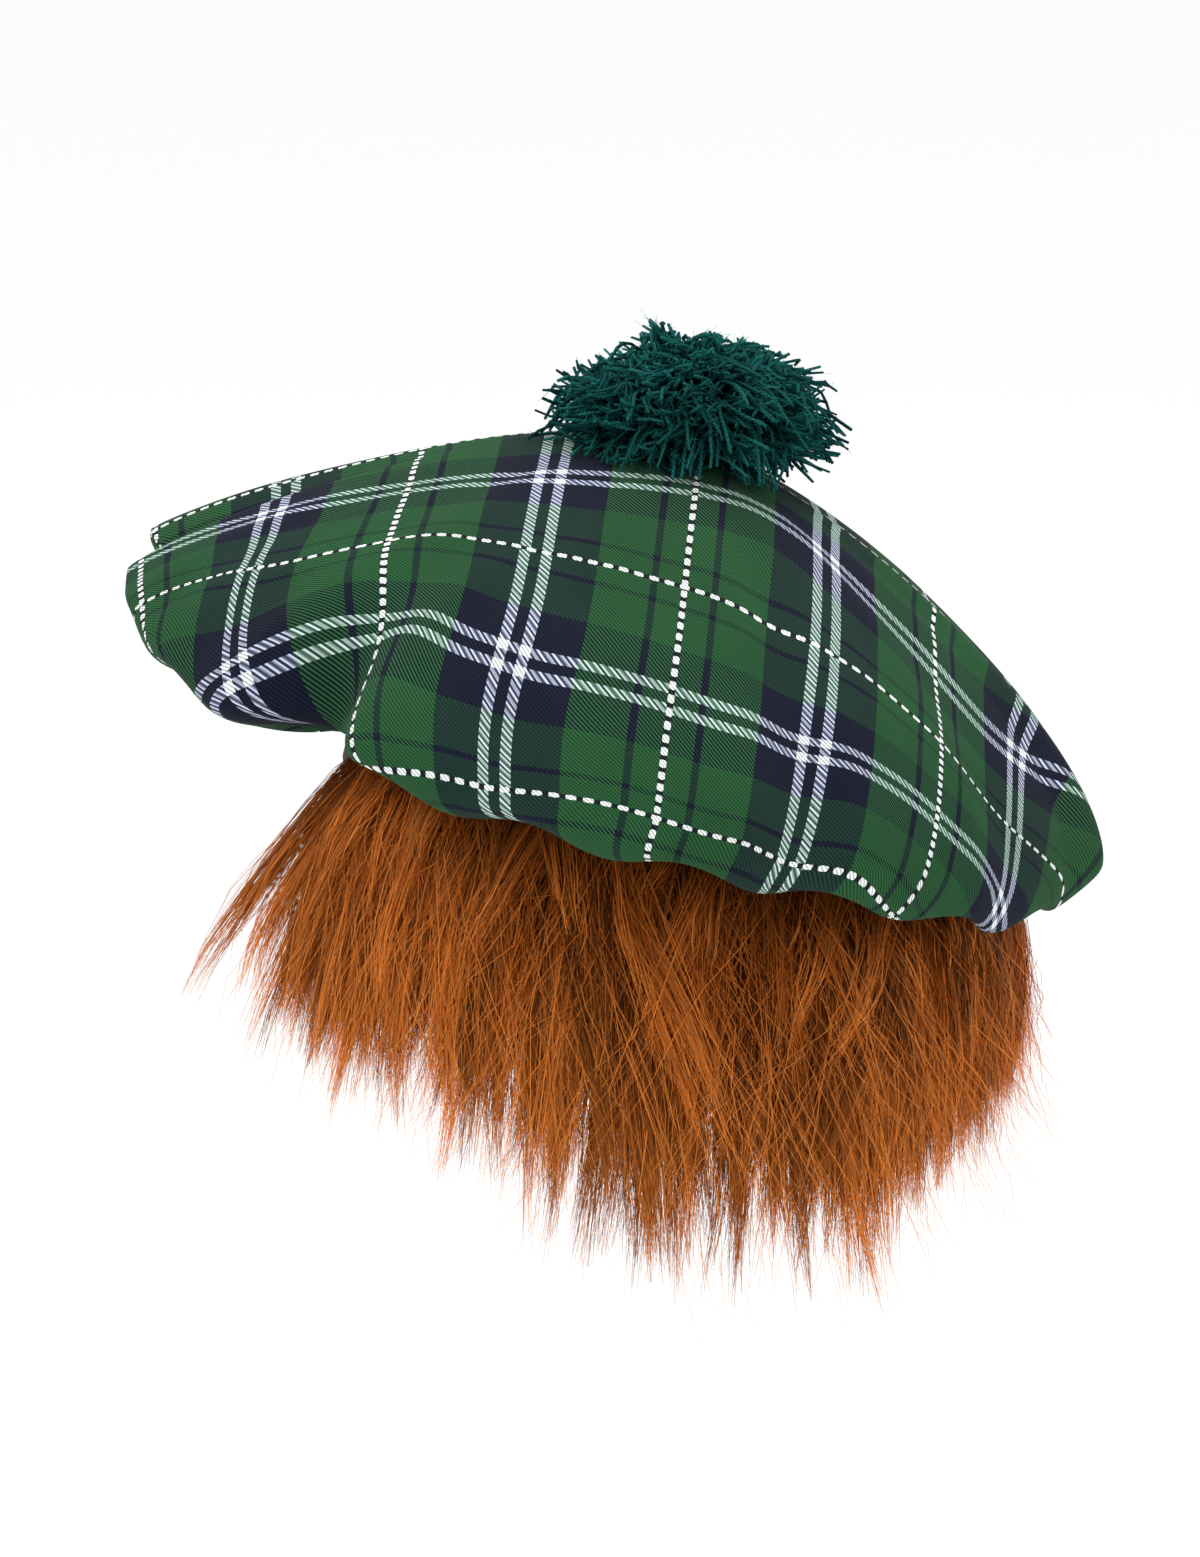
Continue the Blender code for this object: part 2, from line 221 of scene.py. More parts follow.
def new_finish(name, roughness, specular, sheen):
    """A Principled material with its fixed values on the shader's own sockets."""
    material = bpy.data.materials.new(name)
    material.use_nodes = True
    shader = material.node_tree.nodes["Principled BSDF"]
    shader.inputs["Roughness"].default_value = roughness
    shader.inputs["Specular IOR Level"].default_value = specular
    shader.inputs["Sheen Weight"].default_value = sheen
    shader.inputs["Sheen Roughness"].default_value = 0.5
    return material, material.node_tree, shader


def raise_surface(tree, shader, height, distance, strength=1.0):
    """Bump from a height."""
    bump = node_after(
        tree, "ShaderNodeBump", inputs={"Height": height, "Distance": distance, "Strength": strength}
    )
    tree.links.new(bump.outputs[0], shader.inputs["Normal"])


bm = bmesh.new()
azimuths = start_hoop(bm, BAND_SEGMENTS)
inner, outer = BAND_PLY / 2, BAND_WALL - BAND_PLY / 2
for vert in bm.verts:
    vert.co = Vector((*band_outline(vert[azimuths], inner), BAND_HEIGHT))
ring = list(bm.edges)
fold_middle = (inner + outer) / 2
fold_radius = (outer - inner) / 2
profile = [(inner, BAND_HEIGHT * share) for share in (0.8, 0.6, 0.4, 0.2)]
profile += [
    (
        fold_middle - fold_radius * math.cos(math.radians(turn)),
        fold_radius + BAND_PLY / 2 - fold_radius * math.sin(math.radians(turn)),
    )
    for turn in range(0, 181, 45)
]
profile += [(outer, BAND_HEIGHT * share) for share in (0.2, 0.4, 0.6, 0.8, 1.0)]
for offset, height in profile:
    ring = grow_hoop(
        bm,
        ring,
        azimuths,
        lambda azimuth, offset=offset, height=height: Vector((*band_outline(azimuth, offset), height)),
    )
bmesh.ops.recalc_face_normals(bm, faces=bm.faces)
band_mesh = bpy.data.meshes.new("headband_cloth")
bm.to_mesh(band_mesh)
bm.free()

band_finish, tree, shader = new_finish("brown band cloth", 0.9, 0.25, 0.12)
place = node_after(tree, "ShaderNodeTexCoord").outputs["Object"]
thread = node_after(
    tree,
    "ShaderNodeTexWave",
    inputs={"Vector": place, "Scale": BAND_WEAVE_SCALE, "Distortion": 1.2, "Detail": 1.0},
).outputs[1]
worn = noise_of(tree, place, 60.0, 4.0)
tint = blended(tree, worn, *BAND_BROWNS)
tree.links.new(blended(tree, thread, tint, BAND_THREAD_BROWN), shader.inputs["Base Color"])
raise_surface(tree, shader, thread, BAND_WEAVE_RELIEF, 0.7)
band = add_piece("headband_cloth", band_mesh, band_finish)
ply = band.modifiers.new("ply", "SOLIDIFY")
ply.thickness = BAND_PLY
ply.offset = 0
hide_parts("headband")

STITCH_COUNT = 168
STITCH_HEIGHT = 0.0055
STITCH_RADIUS = 0.00022
STITCH_SHARE = 0.64
STITCH_SIDES = 6
STITCH_RINGS = 5
STITCH_TWIST = 4.0
# How far each ring of a stitch lies out from the inner line, in radii: its ends go in.
STITCH_LINE = (1.6, 0.1, -0.2, 0.1, 1.6)
# The thread's browns: painted shade in the grooves between its plies, and the lit plies.
STITCH_SHADED_AND_LIT_BROWNS = ((0.020, 0.011, 0.008, 1), (0.085, 0.052, 0.040, 1))


def repeat(bm, count):
    """A mesh of count copies of a small strand, in order."""
    small = bpy.data.meshes.new("strand")
    bm.to_mesh(small)
    bm.free()
    holder = bpy.data.objects.new("strand", small)
    bpy.context.scene.collection.objects.link(holder)
    array = holder.modifiers.new("copies", "ARRAY")
    array.count = count
    array.use_relative_offset = False
    array.use_constant_offset = True
    array.constant_offset_displace = (0, 0, 0)
    shown = holder.evaluated_get(bpy.context.evaluated_depsgraph_get())
    mesh = bpy.data.meshes.new_from_object(shown)
    bpy.data.objects.remove(holder)
    bpy.data.meshes.remove(small)
    return mesh


def lay_strands(mesh, paths, widths, sideways, tones):
    """Lay each copy of a strand along its path, with a tone for each strand."""
    count, rings = paths.shape[:2]
    flat = np.empty(len(mesh.vertices) * 3)
    mesh.vertices.foreach_get("co", flat)
    base = flat.reshape(count, -1, 3)
    step = np.rint(base[..., 2] * (rings - 1)).astype(int)
    heading = np.gradient(paths, axis=1)
    heading /= np.linalg.norm(heading, axis=2, keepdims=True)
    side = sideways[:, None] - (sideways[:, None] * heading).sum(2, keepdims=True) * heading
    side /= np.linalg.norm(side, axis=2, keepdims=True)
    facing = np.cross(heading, side)
    rows = np.arange(count)[:, None]
    width = widths[rows, step][..., None]
    placed = paths[rows, step] + width * (
        base[..., :1] * side[rows, step] + base[..., 1:2] * facing[rows, step]
    )
    mesh.vertices.foreach_set("co", placed.ravel())
    tone = mesh.attributes.new("tone", "FLOAT", "POINT")
    tone.data.foreach_set("value", np.repeat(tones, base.shape[1]))
    way = mesh.attributes.new("way", "FLOAT", "POINT")
    way.data.foreach_set("value", base[..., 2].ravel())
    mesh.update()


def tube(sides, rings):
    """A closed tube of radius 1 along a unit length, with its turn and length as a UV."""
    bm = bmesh.new()
    bmesh.ops.create_circle(bm, cap_ends=True, segments=sides, radius=1)
    ring = list(bm.edges)
    for _ in range(1, rings):
        grown = bmesh.ops.extrude_edge_only(bm, edges=ring)["geom"]
        moved = [item for item in grown if isinstance(item, bmesh.types.BMVert)]
        bmesh.ops.translate(bm, verts=moved, vec=(0, 0, 1 / (rings - 1)))
        ring = [
            item for item in grown if isinstance(item, bmesh.types.BMEdge) and item.is_boundary
        ]
    bmesh.ops.contextual_create(bm, geom=ring)
    bmesh.ops.recalc_face_normals(bm, faces=bm.faces)
    ply_uv = bm.loops.layers.uv.new("ply")
    for face in bm.faces:
        turns = [math.atan2(item.vert.co.y, item.vert.co.x) / (2 * math.pi) % 1 for item in face.loops]
        wraps = max(turns) - min(turns) > 0.5
        for loop, around in zip(face.loops, turns):
            loop[ply_uv].uv = (around + (1 if wraps and around < 0.5 else 0), loop.vert.co.z)
    return bm


steps = np.arange(STITCH_COUNT)[:, None] + STITCH_SHARE * np.linspace(0, 1, STITCH_RINGS)
spots = np.radians(steps * 360 / STITCH_COUNT)
sunk = STITCH_RADIUS * np.array(STITCH_LINE)
paths = np.stack(
    [
        (HEAD_LENGTH / 2 + sunk) * np.cos(spots),
        (HEAD_WIDTH / 2 + sunk) * np.sin(spots),
        np.full(spots.shape, STITCH_HEIGHT),
    ],
    2,
)
stitch_mesh = repeat(tube(STITCH_SIDES, STITCH_RINGS), STITCH_COUNT)
lay_strands(
    stitch_mesh,
    paths,
    np.full((STITCH_COUNT, STITCH_RINGS), STITCH_RADIUS),
    np.tile((0.0, 0.0, 1.0), (STITCH_COUNT, 1)),
    np.zeros(STITCH_COUNT),
)
stitch_finish, tree, shader = new_finish("brown thread", 0.7, 0.3, 0.1)
lengthwise = node_after(tree, "ShaderNodeUVMap", uv_map="ply").outputs[0]
split = node_after(tree, "ShaderNodeSeparateXYZ", inputs={0: lengthwise})
plies = calc(tree, "MULTIPLY_ADD", split.outputs[1], STITCH_TWIST, split.outputs[0])
groove = calc(tree, "PINGPONG", plies, 0.5)
# The stitches are painted darker in the grooves between their plies, as shade.
tree.links.new(blended(tree, groove, *STITCH_SHADED_AND_LIT_BROWNS), shader.inputs["Base Color"])
add_piece("headband_stitches", stitch_mesh, stitch_finish)


# ---------------------------------------------------------------------------------------
# Crown: one round of green and navy tartan, cut flat, bagged over the headband in soft
# folds, turned under at the rim, and drawn into gathers where it is sewn to the headband.
CLOTH_WALL = 0.0015
CROWN_FORWARD = 0.024
CROWN_RISE = 0.087
CROWN_RADIUS = 0.145
SEAM_OVERLAP = 0.008
SEAM_TURN = 0.003
# How far the cloth's last rings lie below the seam's turn.
SEAM_DROPS = (0.003, 0.007, SEAM_OVERLAP + SEAM_TURN)
SEWN_GAP = 0.0003
SEAT_RADIUS = 0.009
DOME_FLATNESS = 1.35
FOLD_SWELL = 1.3
GATHER_COUNT = 20
GATHER_DEPTH = 0.0025
CROWN_COLUMNS = 480
CROWN_TOP_RINGS = 52
CROWN_UNDER_RINGS = 26
RING_CROWDING = 1.6
# Rim sections: reach as a share of the crown's radius, lift and hang as shares of its
# rise, and how straight the crown falls to the rim.
RIM_SECTIONS = (
    # azimuth, reach, lift, hang, slack
    (0, 0.985, 0.118, 0.112, 0.71),
    (25, 0.985, 0.115, 0.117, 0.71),
    (55, 1.000, 0.080, 0.117, 0.76),
    (90, 1.000, 0.040, 0.117, 0.85),
    (125, 0.990, 0.060, 0.117, 0.97),
    (150, 0.990, 0.140, 0.117, 0.95),
    (163, 0.995, 0.210, 0.104, 0.93),
    (177, 0.990, 0.165, 0.104, 0.90),
    (190, 0.990, 0.104, 0.117, 0.85),
    (200, 0.960, 0.052, 0.117, 0.80),
    (213, 0.935, 0.000, 0.117, 0.72),
    (232, 0.950, 0.052, 0.117, 0.68),
    (245, 0.985, 0.026, 0.117, 0.64),
    (256, 1.000, 0.026, 0.117, 0.62),
    (265, 1.010, 0.039, 0.117, 0.62),
    (277, 1.010, 0.039, 0.117, 0.62),
    (295, 1.010, 0.026, 0.117, 0.62),
    (305, 1.005, 0.013, 0.117, 0.62),
    (315, 0.995, -0.007, 0.117, 0.60),
    (327, 0.975, -0.045, 0.117, 0.60),
    (340, 0.974, -0.004, 0.110, 0.63),
    (348, 1.022, 0.066, 0.082, 0.66),
    (354, 0.994, 0.108, 0.086, 0.70),
)
# Folds up the crown from the rim: depth as a share of the crown's radius, half the
# valley's width in degrees, and where it starts as a share of the way out.
CROWN_FOLDS = (
    # azimuth, depth, spread, start
    (174, 0.075, 9, 0.30),
    (230, 0.170, 12, 0.60),
    (292, 0.036, 8, 0.25),
    (357, 0.030, 10, 0.50),
    (14, 0.075, 12, 0.45),
    (130, 0.030, 13, 0.40),
    (84, 0.035, 13, 0.40),
    (38, 0.030, 13, 0.45),
)
# Soft creases of the worn cloth: how many run round the crown and out to its rim, and
# what share of their height a finer set has.
CREASE_HEIGHT = 0.0024
CREASES_ROUND = 2.6
CREASES_OUT = 1.3
FINE_CREASES_ROUND = 7
FINE_CREASES_OUT = 3.1
FINE_CREASE_SHARE = 0.35
# The under side, in hangs of the cloth below the rim, and its pleats where it is gathered.
BAG_BELOW_RIM = 1.5
BAG_BELOW_SEAM = 0.4
DRAWN_IN = 0.6
PLEAT_HEIGHT = 0.0034
PLEAT_START = 0.40
PLEAT_CROWDING = 1.2
PLEATS_PER_GATHER = 3
PLEAT_WANDER = 55
WANDERS_ROUND = 1.7


def ease_between(rows, value):
    """The table's row at a value of its first column, eased between neighbours."""
    for low, high in zip(rows, rows[1:]):
        if low[0] <= value <= high[0]:
            share = (value - low[0]) / (high[0] - low[0])
            ease = share * share * (3 - 2 * share)
            return [a + (b - a) * ease for a, b in zip(low[1:], high[1:])]
    return list(rows[-1][1:])


RIM_ROUND = [*RIM_SECTIONS, (RIM_SECTIONS[0][0] + 360, *RIM_SECTIONS[0][1:])]


def fold_depth(azimuth, out):
    """How far the folds pull the cloth in, at an azimuth and a share of the way out."""
    total = 0.0
    for fold_azimuth, depth, spread, start in CROWN_FOLDS:
        turn = abs((azimuth - fold_azimuth + 180) % 360 - 180)
        if turn < spread and out > start:
            across = math.cos(turn / spread * math.pi / 2) ** 2
            along = ((out - start) / (1 - start)) ** FOLD_SWELL
            total += depth * CROWN_RADIUS * across * along
    return total


def crease(azimuth, out):
    """Height of the soft creases, which run mostly from the middle to the rim."""
    angle = math.radians(azimuth)
    c, s = math.cos(angle), math.sin(angle)
    ray = Vector((CREASES_ROUND * c, CREASES_ROUND * s, CREASES_OUT * out))
    fine = Vector((FINE_CREASES_ROUND * c, FINE_CREASES_ROUND * s, FINE_CREASES_OUT * out + 9))
    return CREASE_HEIGHT * out * (noise.noise(ray) + FINE_CREASE_SHARE * noise.noise(fine))


def crown_top_point(azimuth, out):
    """A point of the crown's outer face, out from 0 at the pompom's seat to 1 at the rim."""
    angle = math.radians(azimuth)
    reach, lift, _, slack = ease_between(RIM_ROUND, azimuth % 360)
    radius = SEAT_RADIUS + out * (reach * CROWN_RADIUS - SEAT_RADIUS)
    rise = lift + (1 - lift) * (1 - out**DOME_FLATNESS) ** slack
    height = BAND_HEIGHT + rise * CROWN_RISE
    pull = fold_depth(azimuth, out)
    swell = crease(azimuth, out)
    radius += swell * out**2 - pull * out**2
    height += swell * (1 - out**2) - pull * (1 - out**2)
    return Vector((-CROWN_FORWARD + radius * math.cos(angle), radius * math.sin(angle), height))


def seam_point(azimuth, height):
    """A point of the crown's outer face where it lies on the headband's outside."""
    return Vector((*band_outline(azimuth, BAND_WALL + SEWN_GAP + CLOTH_WALL), height))


def crown_under_point(azimuth, inward):
    """A point of the crown's under side, inward from 0 at the rim to 1 at the seam."""
    rim = crown_top_point(azimuth, 1.0)
    hang = ease_between(RIM_ROUND, azimuth % 360)[2] * CROWN_RISE
    seam = seam_point(azimuth, BAND_HEIGHT + SEAM_TURN)
    bagged = rim + Vector((0, 0, -BAG_BELOW_RIM * hang))
    drawn_in = rim.lerp(seam, DRAWN_IN)
    drawn_in.z = seam.z - BAG_BELOW_SEAM * hang
    a, b = 1 - inward, inward
    point = a**3 * rim + 3 * a * a * b * bagged + 3 * a * b * b * drawn_in + b**3 * seam
    gather = math.sin(math.pi * inward) * math.cos(math.radians(azimuth * GATHER_COUNT))
    angle = math.radians(azimuth)
    round_cap = Vector((WANDERS_ROUND * math.cos(angle), WANDERS_ROUND * math.sin(angle), 4))
    wander = PLEAT_WANDER * noise.noise(round_cap)
    pleat = math.cos(math.radians(azimuth * PLEATS_PER_GATHER * GATHER_COUNT + wander))
    past_start = max(0.0, (inward - PLEAT_START) / (1 - PLEAT_START))
    near_seam = math.sin(math.pi * past_start**PLEAT_CROWDING)
    point.z -= GATHER_DEPTH * gather + PLEAT_HEIGHT * pleat * near_seam
    return point


bm = bmesh.new()
azimuths = start_hoop(bm, CROWN_COLUMNS)
cloth_run = bm.verts.layers.float.new("cloth_run")
for vert in bm.verts:
    vert.co = crown_top_point(vert[azimuths], 0)
    vert[cloth_run] = SEAT_RADIUS
ring = list(bm.edges)
places = [
    lambda azimuth, out=1 - (1 - step / CROWN_TOP_RINGS) ** RING_CROWDING: crown_top_point(azimuth, out)
    for step in range(1, CROWN_TOP_RINGS + 1)
]
places += [
    lambda azimuth, inward=step / CROWN_UNDER_RINGS: crown_under_point(azimuth, inward)
    for step in range(1, CROWN_UNDER_RINGS + 1)
]
places += [
    lambda azimuth, low=BAND_HEIGHT + SEAM_TURN - drop: seam_point(azimuth, low)
    for drop in SEAM_DROPS
]
bmesh.ops.contextual_create(bm, geom=ring)
for place_at in places:
    grown = bmesh.ops.extrude_edge_only(bm, edges=ring)["geom"]
    ring = []
    for item in grown:
        if isinstance(item, bmesh.types.BMVert):
            old = item.co.copy()
            item.co = place_at(item[azimuths])
            item[cloth_run] += (item.co - old).length
        elif isinstance(item, bmesh.types.BMEdge) and len(item.link_faces) == 1:
            ring.append(item)
bmesh.ops.recalc_face_normals(bm, faces=bm.faces)
seat = max(bm.faces, key=lambda face: len(face.verts))
if seat.normal.z < 0:
    bmesh.ops.reverse_faces(bm, faces=bm.faces)

# How the tartan lies: the cut's own directions, then how wearing has dragged it, as an
# even part and as local pulls at the folds. Lengths are on the flat cut.
DRAG_REACH = 0.15
DRAG_LIMIT = 1.15
PULL_SPREAD = 0.024
DRAG_ACROSS = (-0.0064, 0.0201, -0.0024, -0.0011, -0.0051, 0.0079, 0.0007, 0.0083)
DRAG_ALONG = (0.0014, 0.0381, -0.0185, -0.0175, -0.0307, 0.0248, -0.0089, 0.0027)
PULLS_ACROSS = (
    # x, y on the cut, pull
    (0.127, -0.046, 0.0097),
    (-0.150, -0.055, -0.0075),
    (0.110, 0.000, 0.0079),
    (0.139, -0.080, 0.0083),
    (-0.080, -0.139, 0.0061),
    (-0.117, -0.068, 0.0082),
    (-0.028, -0.158, 0.0050),
)
PULLS_ALONG = (
    # x, y on the cut, pull
    (0.133, -0.023, 0.0029),
    (-0.028, -0.158, 0.0104),
    (-0.150, -0.055, -0.0179),
    (0.028, -0.158, 0.0105),
    (0.025, -0.043, -0.0074),
    (-0.087, -0.103, -0.0171),
    (0.080, -0.139, -0.0024),
    (0.135, 0.000, 0.0110),
    (0.117, -0.068, 0.0218),
    (0.032, -0.038, -0.0128),
    (-0.084, -0.071, -0.0083),
    (-0.158, 0.028, -0.0034),
)


def dragged(x, y, drags, pulls):
    """How far the pattern is dragged at a place on the cut."""
    r = min(math.hypot(x, y) / DRAG_REACH, DRAG_LIMIT)
    angle = math.atan2(y, x)
    c, s = math.cos(angle), math.sin(angle)
    c2, s2 = math.cos(2 * angle), math.sin(2 * angle)
    terms = (1, r * c, r * s, r * r, r * r * c, r * r * s, r * r * c2, r * r * s2)
    even = sum(drag * term for drag, term in zip(drags, terms))
    local = sum(
        pull * math.exp(-((x - px) ** 2 + (y - py) ** 2) / (2 * PULL_SPREAD**2))
        for px, py, pull in pulls
    )
    return even + local


bm.verts.index_update()
lay = [None] * len(bm.verts)
for vert in bm.verts:
    angle = math.radians(vert[azimuths])
    x, y = vert[cloth_run] * math.cos(angle), vert[cloth_run] * math.sin(angle)
    lay[vert.index] = (
        x + dragged(x, y, DRAG_ACROSS, PULLS_ACROSS),
        y + dragged(x, y, DRAG_ALONG, PULLS_ALONG),
    )
cloth_uv = bm.loops.layers.uv.new("cloth")
for face in bm.faces:
    for loop in face.loops:
        loop[cloth_uv].uv = lay[loop.vert.index]
bmesh.ops.triangulate(bm, faces=[seat])
crown_mesh = bpy.data.meshes.new("crown_tartan")
bm.to_mesh(crown_mesh)
bm.free()

# The tartan's sett, mirrored about each dashed line, as distances from it.
HALF_SETT = 0.0455
THIN_NAVY = (0.0080, 0.0102)
WIDE_NAVY = 0.0265
PALE_LINE = 0.0421
PALE_HALF_WIDTH = 0.00165
DASH_HALF_WIDTH = 0.00095
DASH_HALF_LENGTH = 0.00148
DASH_HALF_STEP = 0.00235
TWILL_STEP = 0.0015
PALE_TWILL_STEP = 0.0023
TWILL_EDGE = (0.17, 0.31)
# How much a pale thread shows where it lies under, and how much more where it lies on top.
PALE_UNDER = 0.08
PALE_ON_TOP = 0.92
GREEN = (0.018, 0.080, 0.028, 1)
NAVY = (0.007, 0.010, 0.022, 1)
PALE_GREEN = (0.46, 0.62, 0.56, 1)
PALE_LILAC = (0.50, 0.54, 0.70, 1)
WHITE = (0.78, 0.82, 0.80, 1)
DASH_GROUND = (0.008, 0.016, 0.014, 1)
# Tone of the cloth: its base, and what unevenness and fibre add, and the painted shade of the twill's
# ribs.
SHADE_BASE = 0.14
SHADE_UNEVEN = 0.5
SHADE_FIBRE = 0.45
SHADE_TWILL = 0.74
UNEVEN_SCALE = 28.0
FIBRE_SCALE = 2600.0
TWILL_RELIEF = 0.00022

tartan_finish, tree, shader = new_finish("tartan twill", 0.9, 0.10, 0.02)
cloth_place = node_after(tree, "ShaderNodeUVMap", uv_map="cloth").outputs[0]
split = node_after(tree, "ShaderNodeSeparateXYZ", inputs={0: cloth_place})
across, along = split.outputs[0], split.outputs[1]


def stripe_distance(run):
    """Distance from the nearest dashed line."""
    return calc(tree, "PINGPONG", run, HALF_SETT)


def ground_stripes(distance):
    """The green and navy ground of one set of threads."""
    ramp = node_after(tree, "ShaderNodeValToRGB")
    stops = ramp.color_ramp
    stops.interpolation = "CONSTANT"
    stops.elements[0].position, stops.elements[0].color = 0.0, GREEN
    stops.elements[1].position, stops.elements[1].color = THIN_NAVY[0] / HALF_SETT, NAVY
    for edge, colour in ((THIN_NAVY[1], GREEN), (WIDE_NAVY, NAVY)):
        stops.elements.new(edge / HALF_SETT).color = colour
    tree.links.new(calc(tree, "DIVIDE", distance, HALF_SETT), ramp.inputs[0])
    return ramp.outputs[0]


def pale_lines(distance, crossing):
    """Where a pale line runs, and its colour, which takes a cast from what it crosses."""
    in_navy = calc(tree, "GREATER_THAN", crossing, WIDE_NAVY)
    on_line = calc(tree, "COMPARE", distance, PALE_LINE, PALE_HALF_WIDTH)
    return on_line, blended(tree, in_navy, PALE_GREEN, PALE_LILAC)


def twill_up(step):
    """How far the lengthwise threads lie on top, in diagonal ribs a step apart."""
    diagonal = calc(tree, "DIVIDE", calc(tree, "ADD", across, along), step)
    inputs = {0: calc(tree, "PINGPONG", diagonal, 0.5), 1: TWILL_EDGE[0], 2: TWILL_EDGE[1]}
    return node_after(
        tree, "ShaderNodeMapRange", interpolation_type="SMOOTHSTEP", inputs=inputs
    ).outputs[0]


def dashes(distance, run):
    """1 on the white dashes of a dashed line."""
    side = calc(tree, "POWER", calc(tree, "DIVIDE", distance, DASH_HALF_WIDTH), 4.0)
    step = calc(tree, "PINGPONG", run, DASH_HALF_STEP)
    end = calc(tree, "POWER", calc(tree, "DIVIDE", step, DASH_HALF_LENGTH), 4.0)
    return calc(tree, "LESS_THAN", calc(tree, "ADD", side, end), 1.0)


warp_distance, weft_distance = stripe_distance(across), stripe_distance(along)
warp_up, pale_warp_up = twill_up(TWILL_STEP), twill_up(PALE_TWILL_STEP)
pale_weft_up = calc(tree, "SUBTRACT", 1.0, pale_warp_up)
cloth_colour = blended(
    tree, warp_up, ground_stripes(weft_distance), ground_stripes(warp_distance)
)
crossed = []
for distance, crossing, on_top in (
    (weft_distance, warp_distance, pale_weft_up),
    (warp_distance, weft_distance, pale_warp_up),
):
    on_line, pale = pale_lines(distance, crossing)
    clear = calc(tree, "MULTIPLY_ADD", on_top, PALE_ON_TOP, PALE_UNDER)
    cloth_colour = blended(tree, calc(tree, "MULTIPLY", on_line, clear), cloth_colour, pale)
    crossed.append(on_line)
cloth_colour = blended(tree, calc(tree, "MULTIPLY", *crossed), cloth_colour, WHITE)
for distance, run in ((warp_distance, along), (weft_distance, across)):
    on_line = calc(tree, "LESS_THAN", distance, DASH_HALF_WIDTH)
    cloth_colour = blended(tree, on_line, cloth_colour, DASH_GROUND)
dash = calc(tree, "MAXIMUM", dashes(warp_distance, along), dashes(weft_distance, across))
cloth_colour = blended(tree, dash, cloth_colour, WHITE)
uneven = noise_of(tree, cloth_place, UNEVEN_SCALE, 3.0)
fibre = noise_of(tree, cloth_place, FIBRE_SCALE, 2.0, 0.6)
tone_and_twill_shade = calc(tree, "MULTIPLY", uneven, SHADE_UNEVEN)
tone_and_twill_shade = calc(tree, "ADD", tone_and_twill_shade, calc(tree, "MULTIPLY", fibre, SHADE_FIBRE))
# Painted shade in the twill: the cloth is painted darker where its lengthwise threads lie under.
tone_and_twill_shade = calc(tree, "ADD", tone_and_twill_shade, calc(tree, "MULTIPLY", warp_up, SHADE_TWILL))
tone_and_twill_shade = calc(tree, "ADD", tone_and_twill_shade, SHADE_BASE)
tone_and_twill_shade_grey = node_after(tree, "ShaderNodeCombineColor", inputs={0: tone_and_twill_shade, 1: tone_and_twill_shade, 2: tone_and_twill_shade}).outputs[0]
tree.links.new(blended(tree, 1.0, cloth_colour, tone_and_twill_shade_grey, "MULTIPLY"), shader.inputs["Base Color"])
relief = calc(tree, "ADD", calc(tree, "MULTIPLY", warp_up, 0.5), calc(tree, "MULTIPLY", fibre, 0.5))
relief = calc(tree, "ADD", relief, calc(tree, "MULTIPLY", dash, 0.6))
raise_surface(tree, shader, relief, TWILL_RELIEF, 0.8)

crown = add_piece("crown_tartan", crown_mesh, tartan_finish)
wall = crown.modifiers.new("cloth wall", "SOLIDIFY")
wall.thickness = CLOTH_WALL
wall.offset = -1
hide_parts("crown")


# ---------------------------------------------------------------------------------------
# Pompom: a mass of cut ends of deep teal acrylic yarn, tied round the middle and sewn on
# the crown's middle. The ends stand up in peaks and droop over the crown.
POMPOM_WIDTH = 0.093
CUSHION_HEIGHT = 0.0205
CORE_RADIUS = 0.012
# How high the tied middle sits on the crown, in radii of the core.
CORE_SEATING = 0.85
CUSHION_FULLNESS = 2.3
FRAY_ALLOWANCE = 0.002
TUFT_COUNT = 300
YARNS_PER_TUFT = 7
YARN_COUNT = TUFT_COUNT * YARNS_PER_TUFT
YARN_RINGS = 8
YARN_SIDES = 4
YARN_RADIUS = 0.00052
# Ranges and spreads of the tufts and of the yarns in them. Lengths, bends and droop are
# shares of the reach.
TUFT_SPREAD = 1.45
TUFT_STRAY = 0.10
TUFTS_TILT = 8
TUFT_LENGTHS = (0.82, 1.08)
TUFT_BEND = 0.12
YARN_STRAY = 0.12
YARN_LENGTHS = (0.80, 1.0)
MOST_REACH = 1.08
YARN_ROOT = 0.35
YARN_BEND = 0.06
MOST_BEND = 0.2
YARN_DROOP = 0.10
YARN_KINK = 0.0005
# Yarn that would sink into the crown lies on it instead, piled a little.
YARN_CLEARANCE = 0.0008
YARN_PILE = 0.0016
YARN_THICKNESS = (0.85, 1.15)
YARN_UNEVENNESS = (0.85, 1.12)
CUT_END_WIDTH = 0.8
# The yarn's teals from dark to light carry its tone and the painted light on the ends that point up.
YARN_TEALS_BY_TONE_AND_LIGHT = ((0.0008, 0.036, 0.035, 1), (0.050, 0.440, 0.400, 1))
# Painted shade deep inside the pompom, where the yarn's roots lie.
YARN_ROOT_SHADE_TEAL = (0.0005, 0.024, 0.023, 1)
# Painted shade in the grooves between the yarn's plies.
YARN_GROOVE_SHADE_TEAL = (0.0006, 0.034, 0.032, 1)
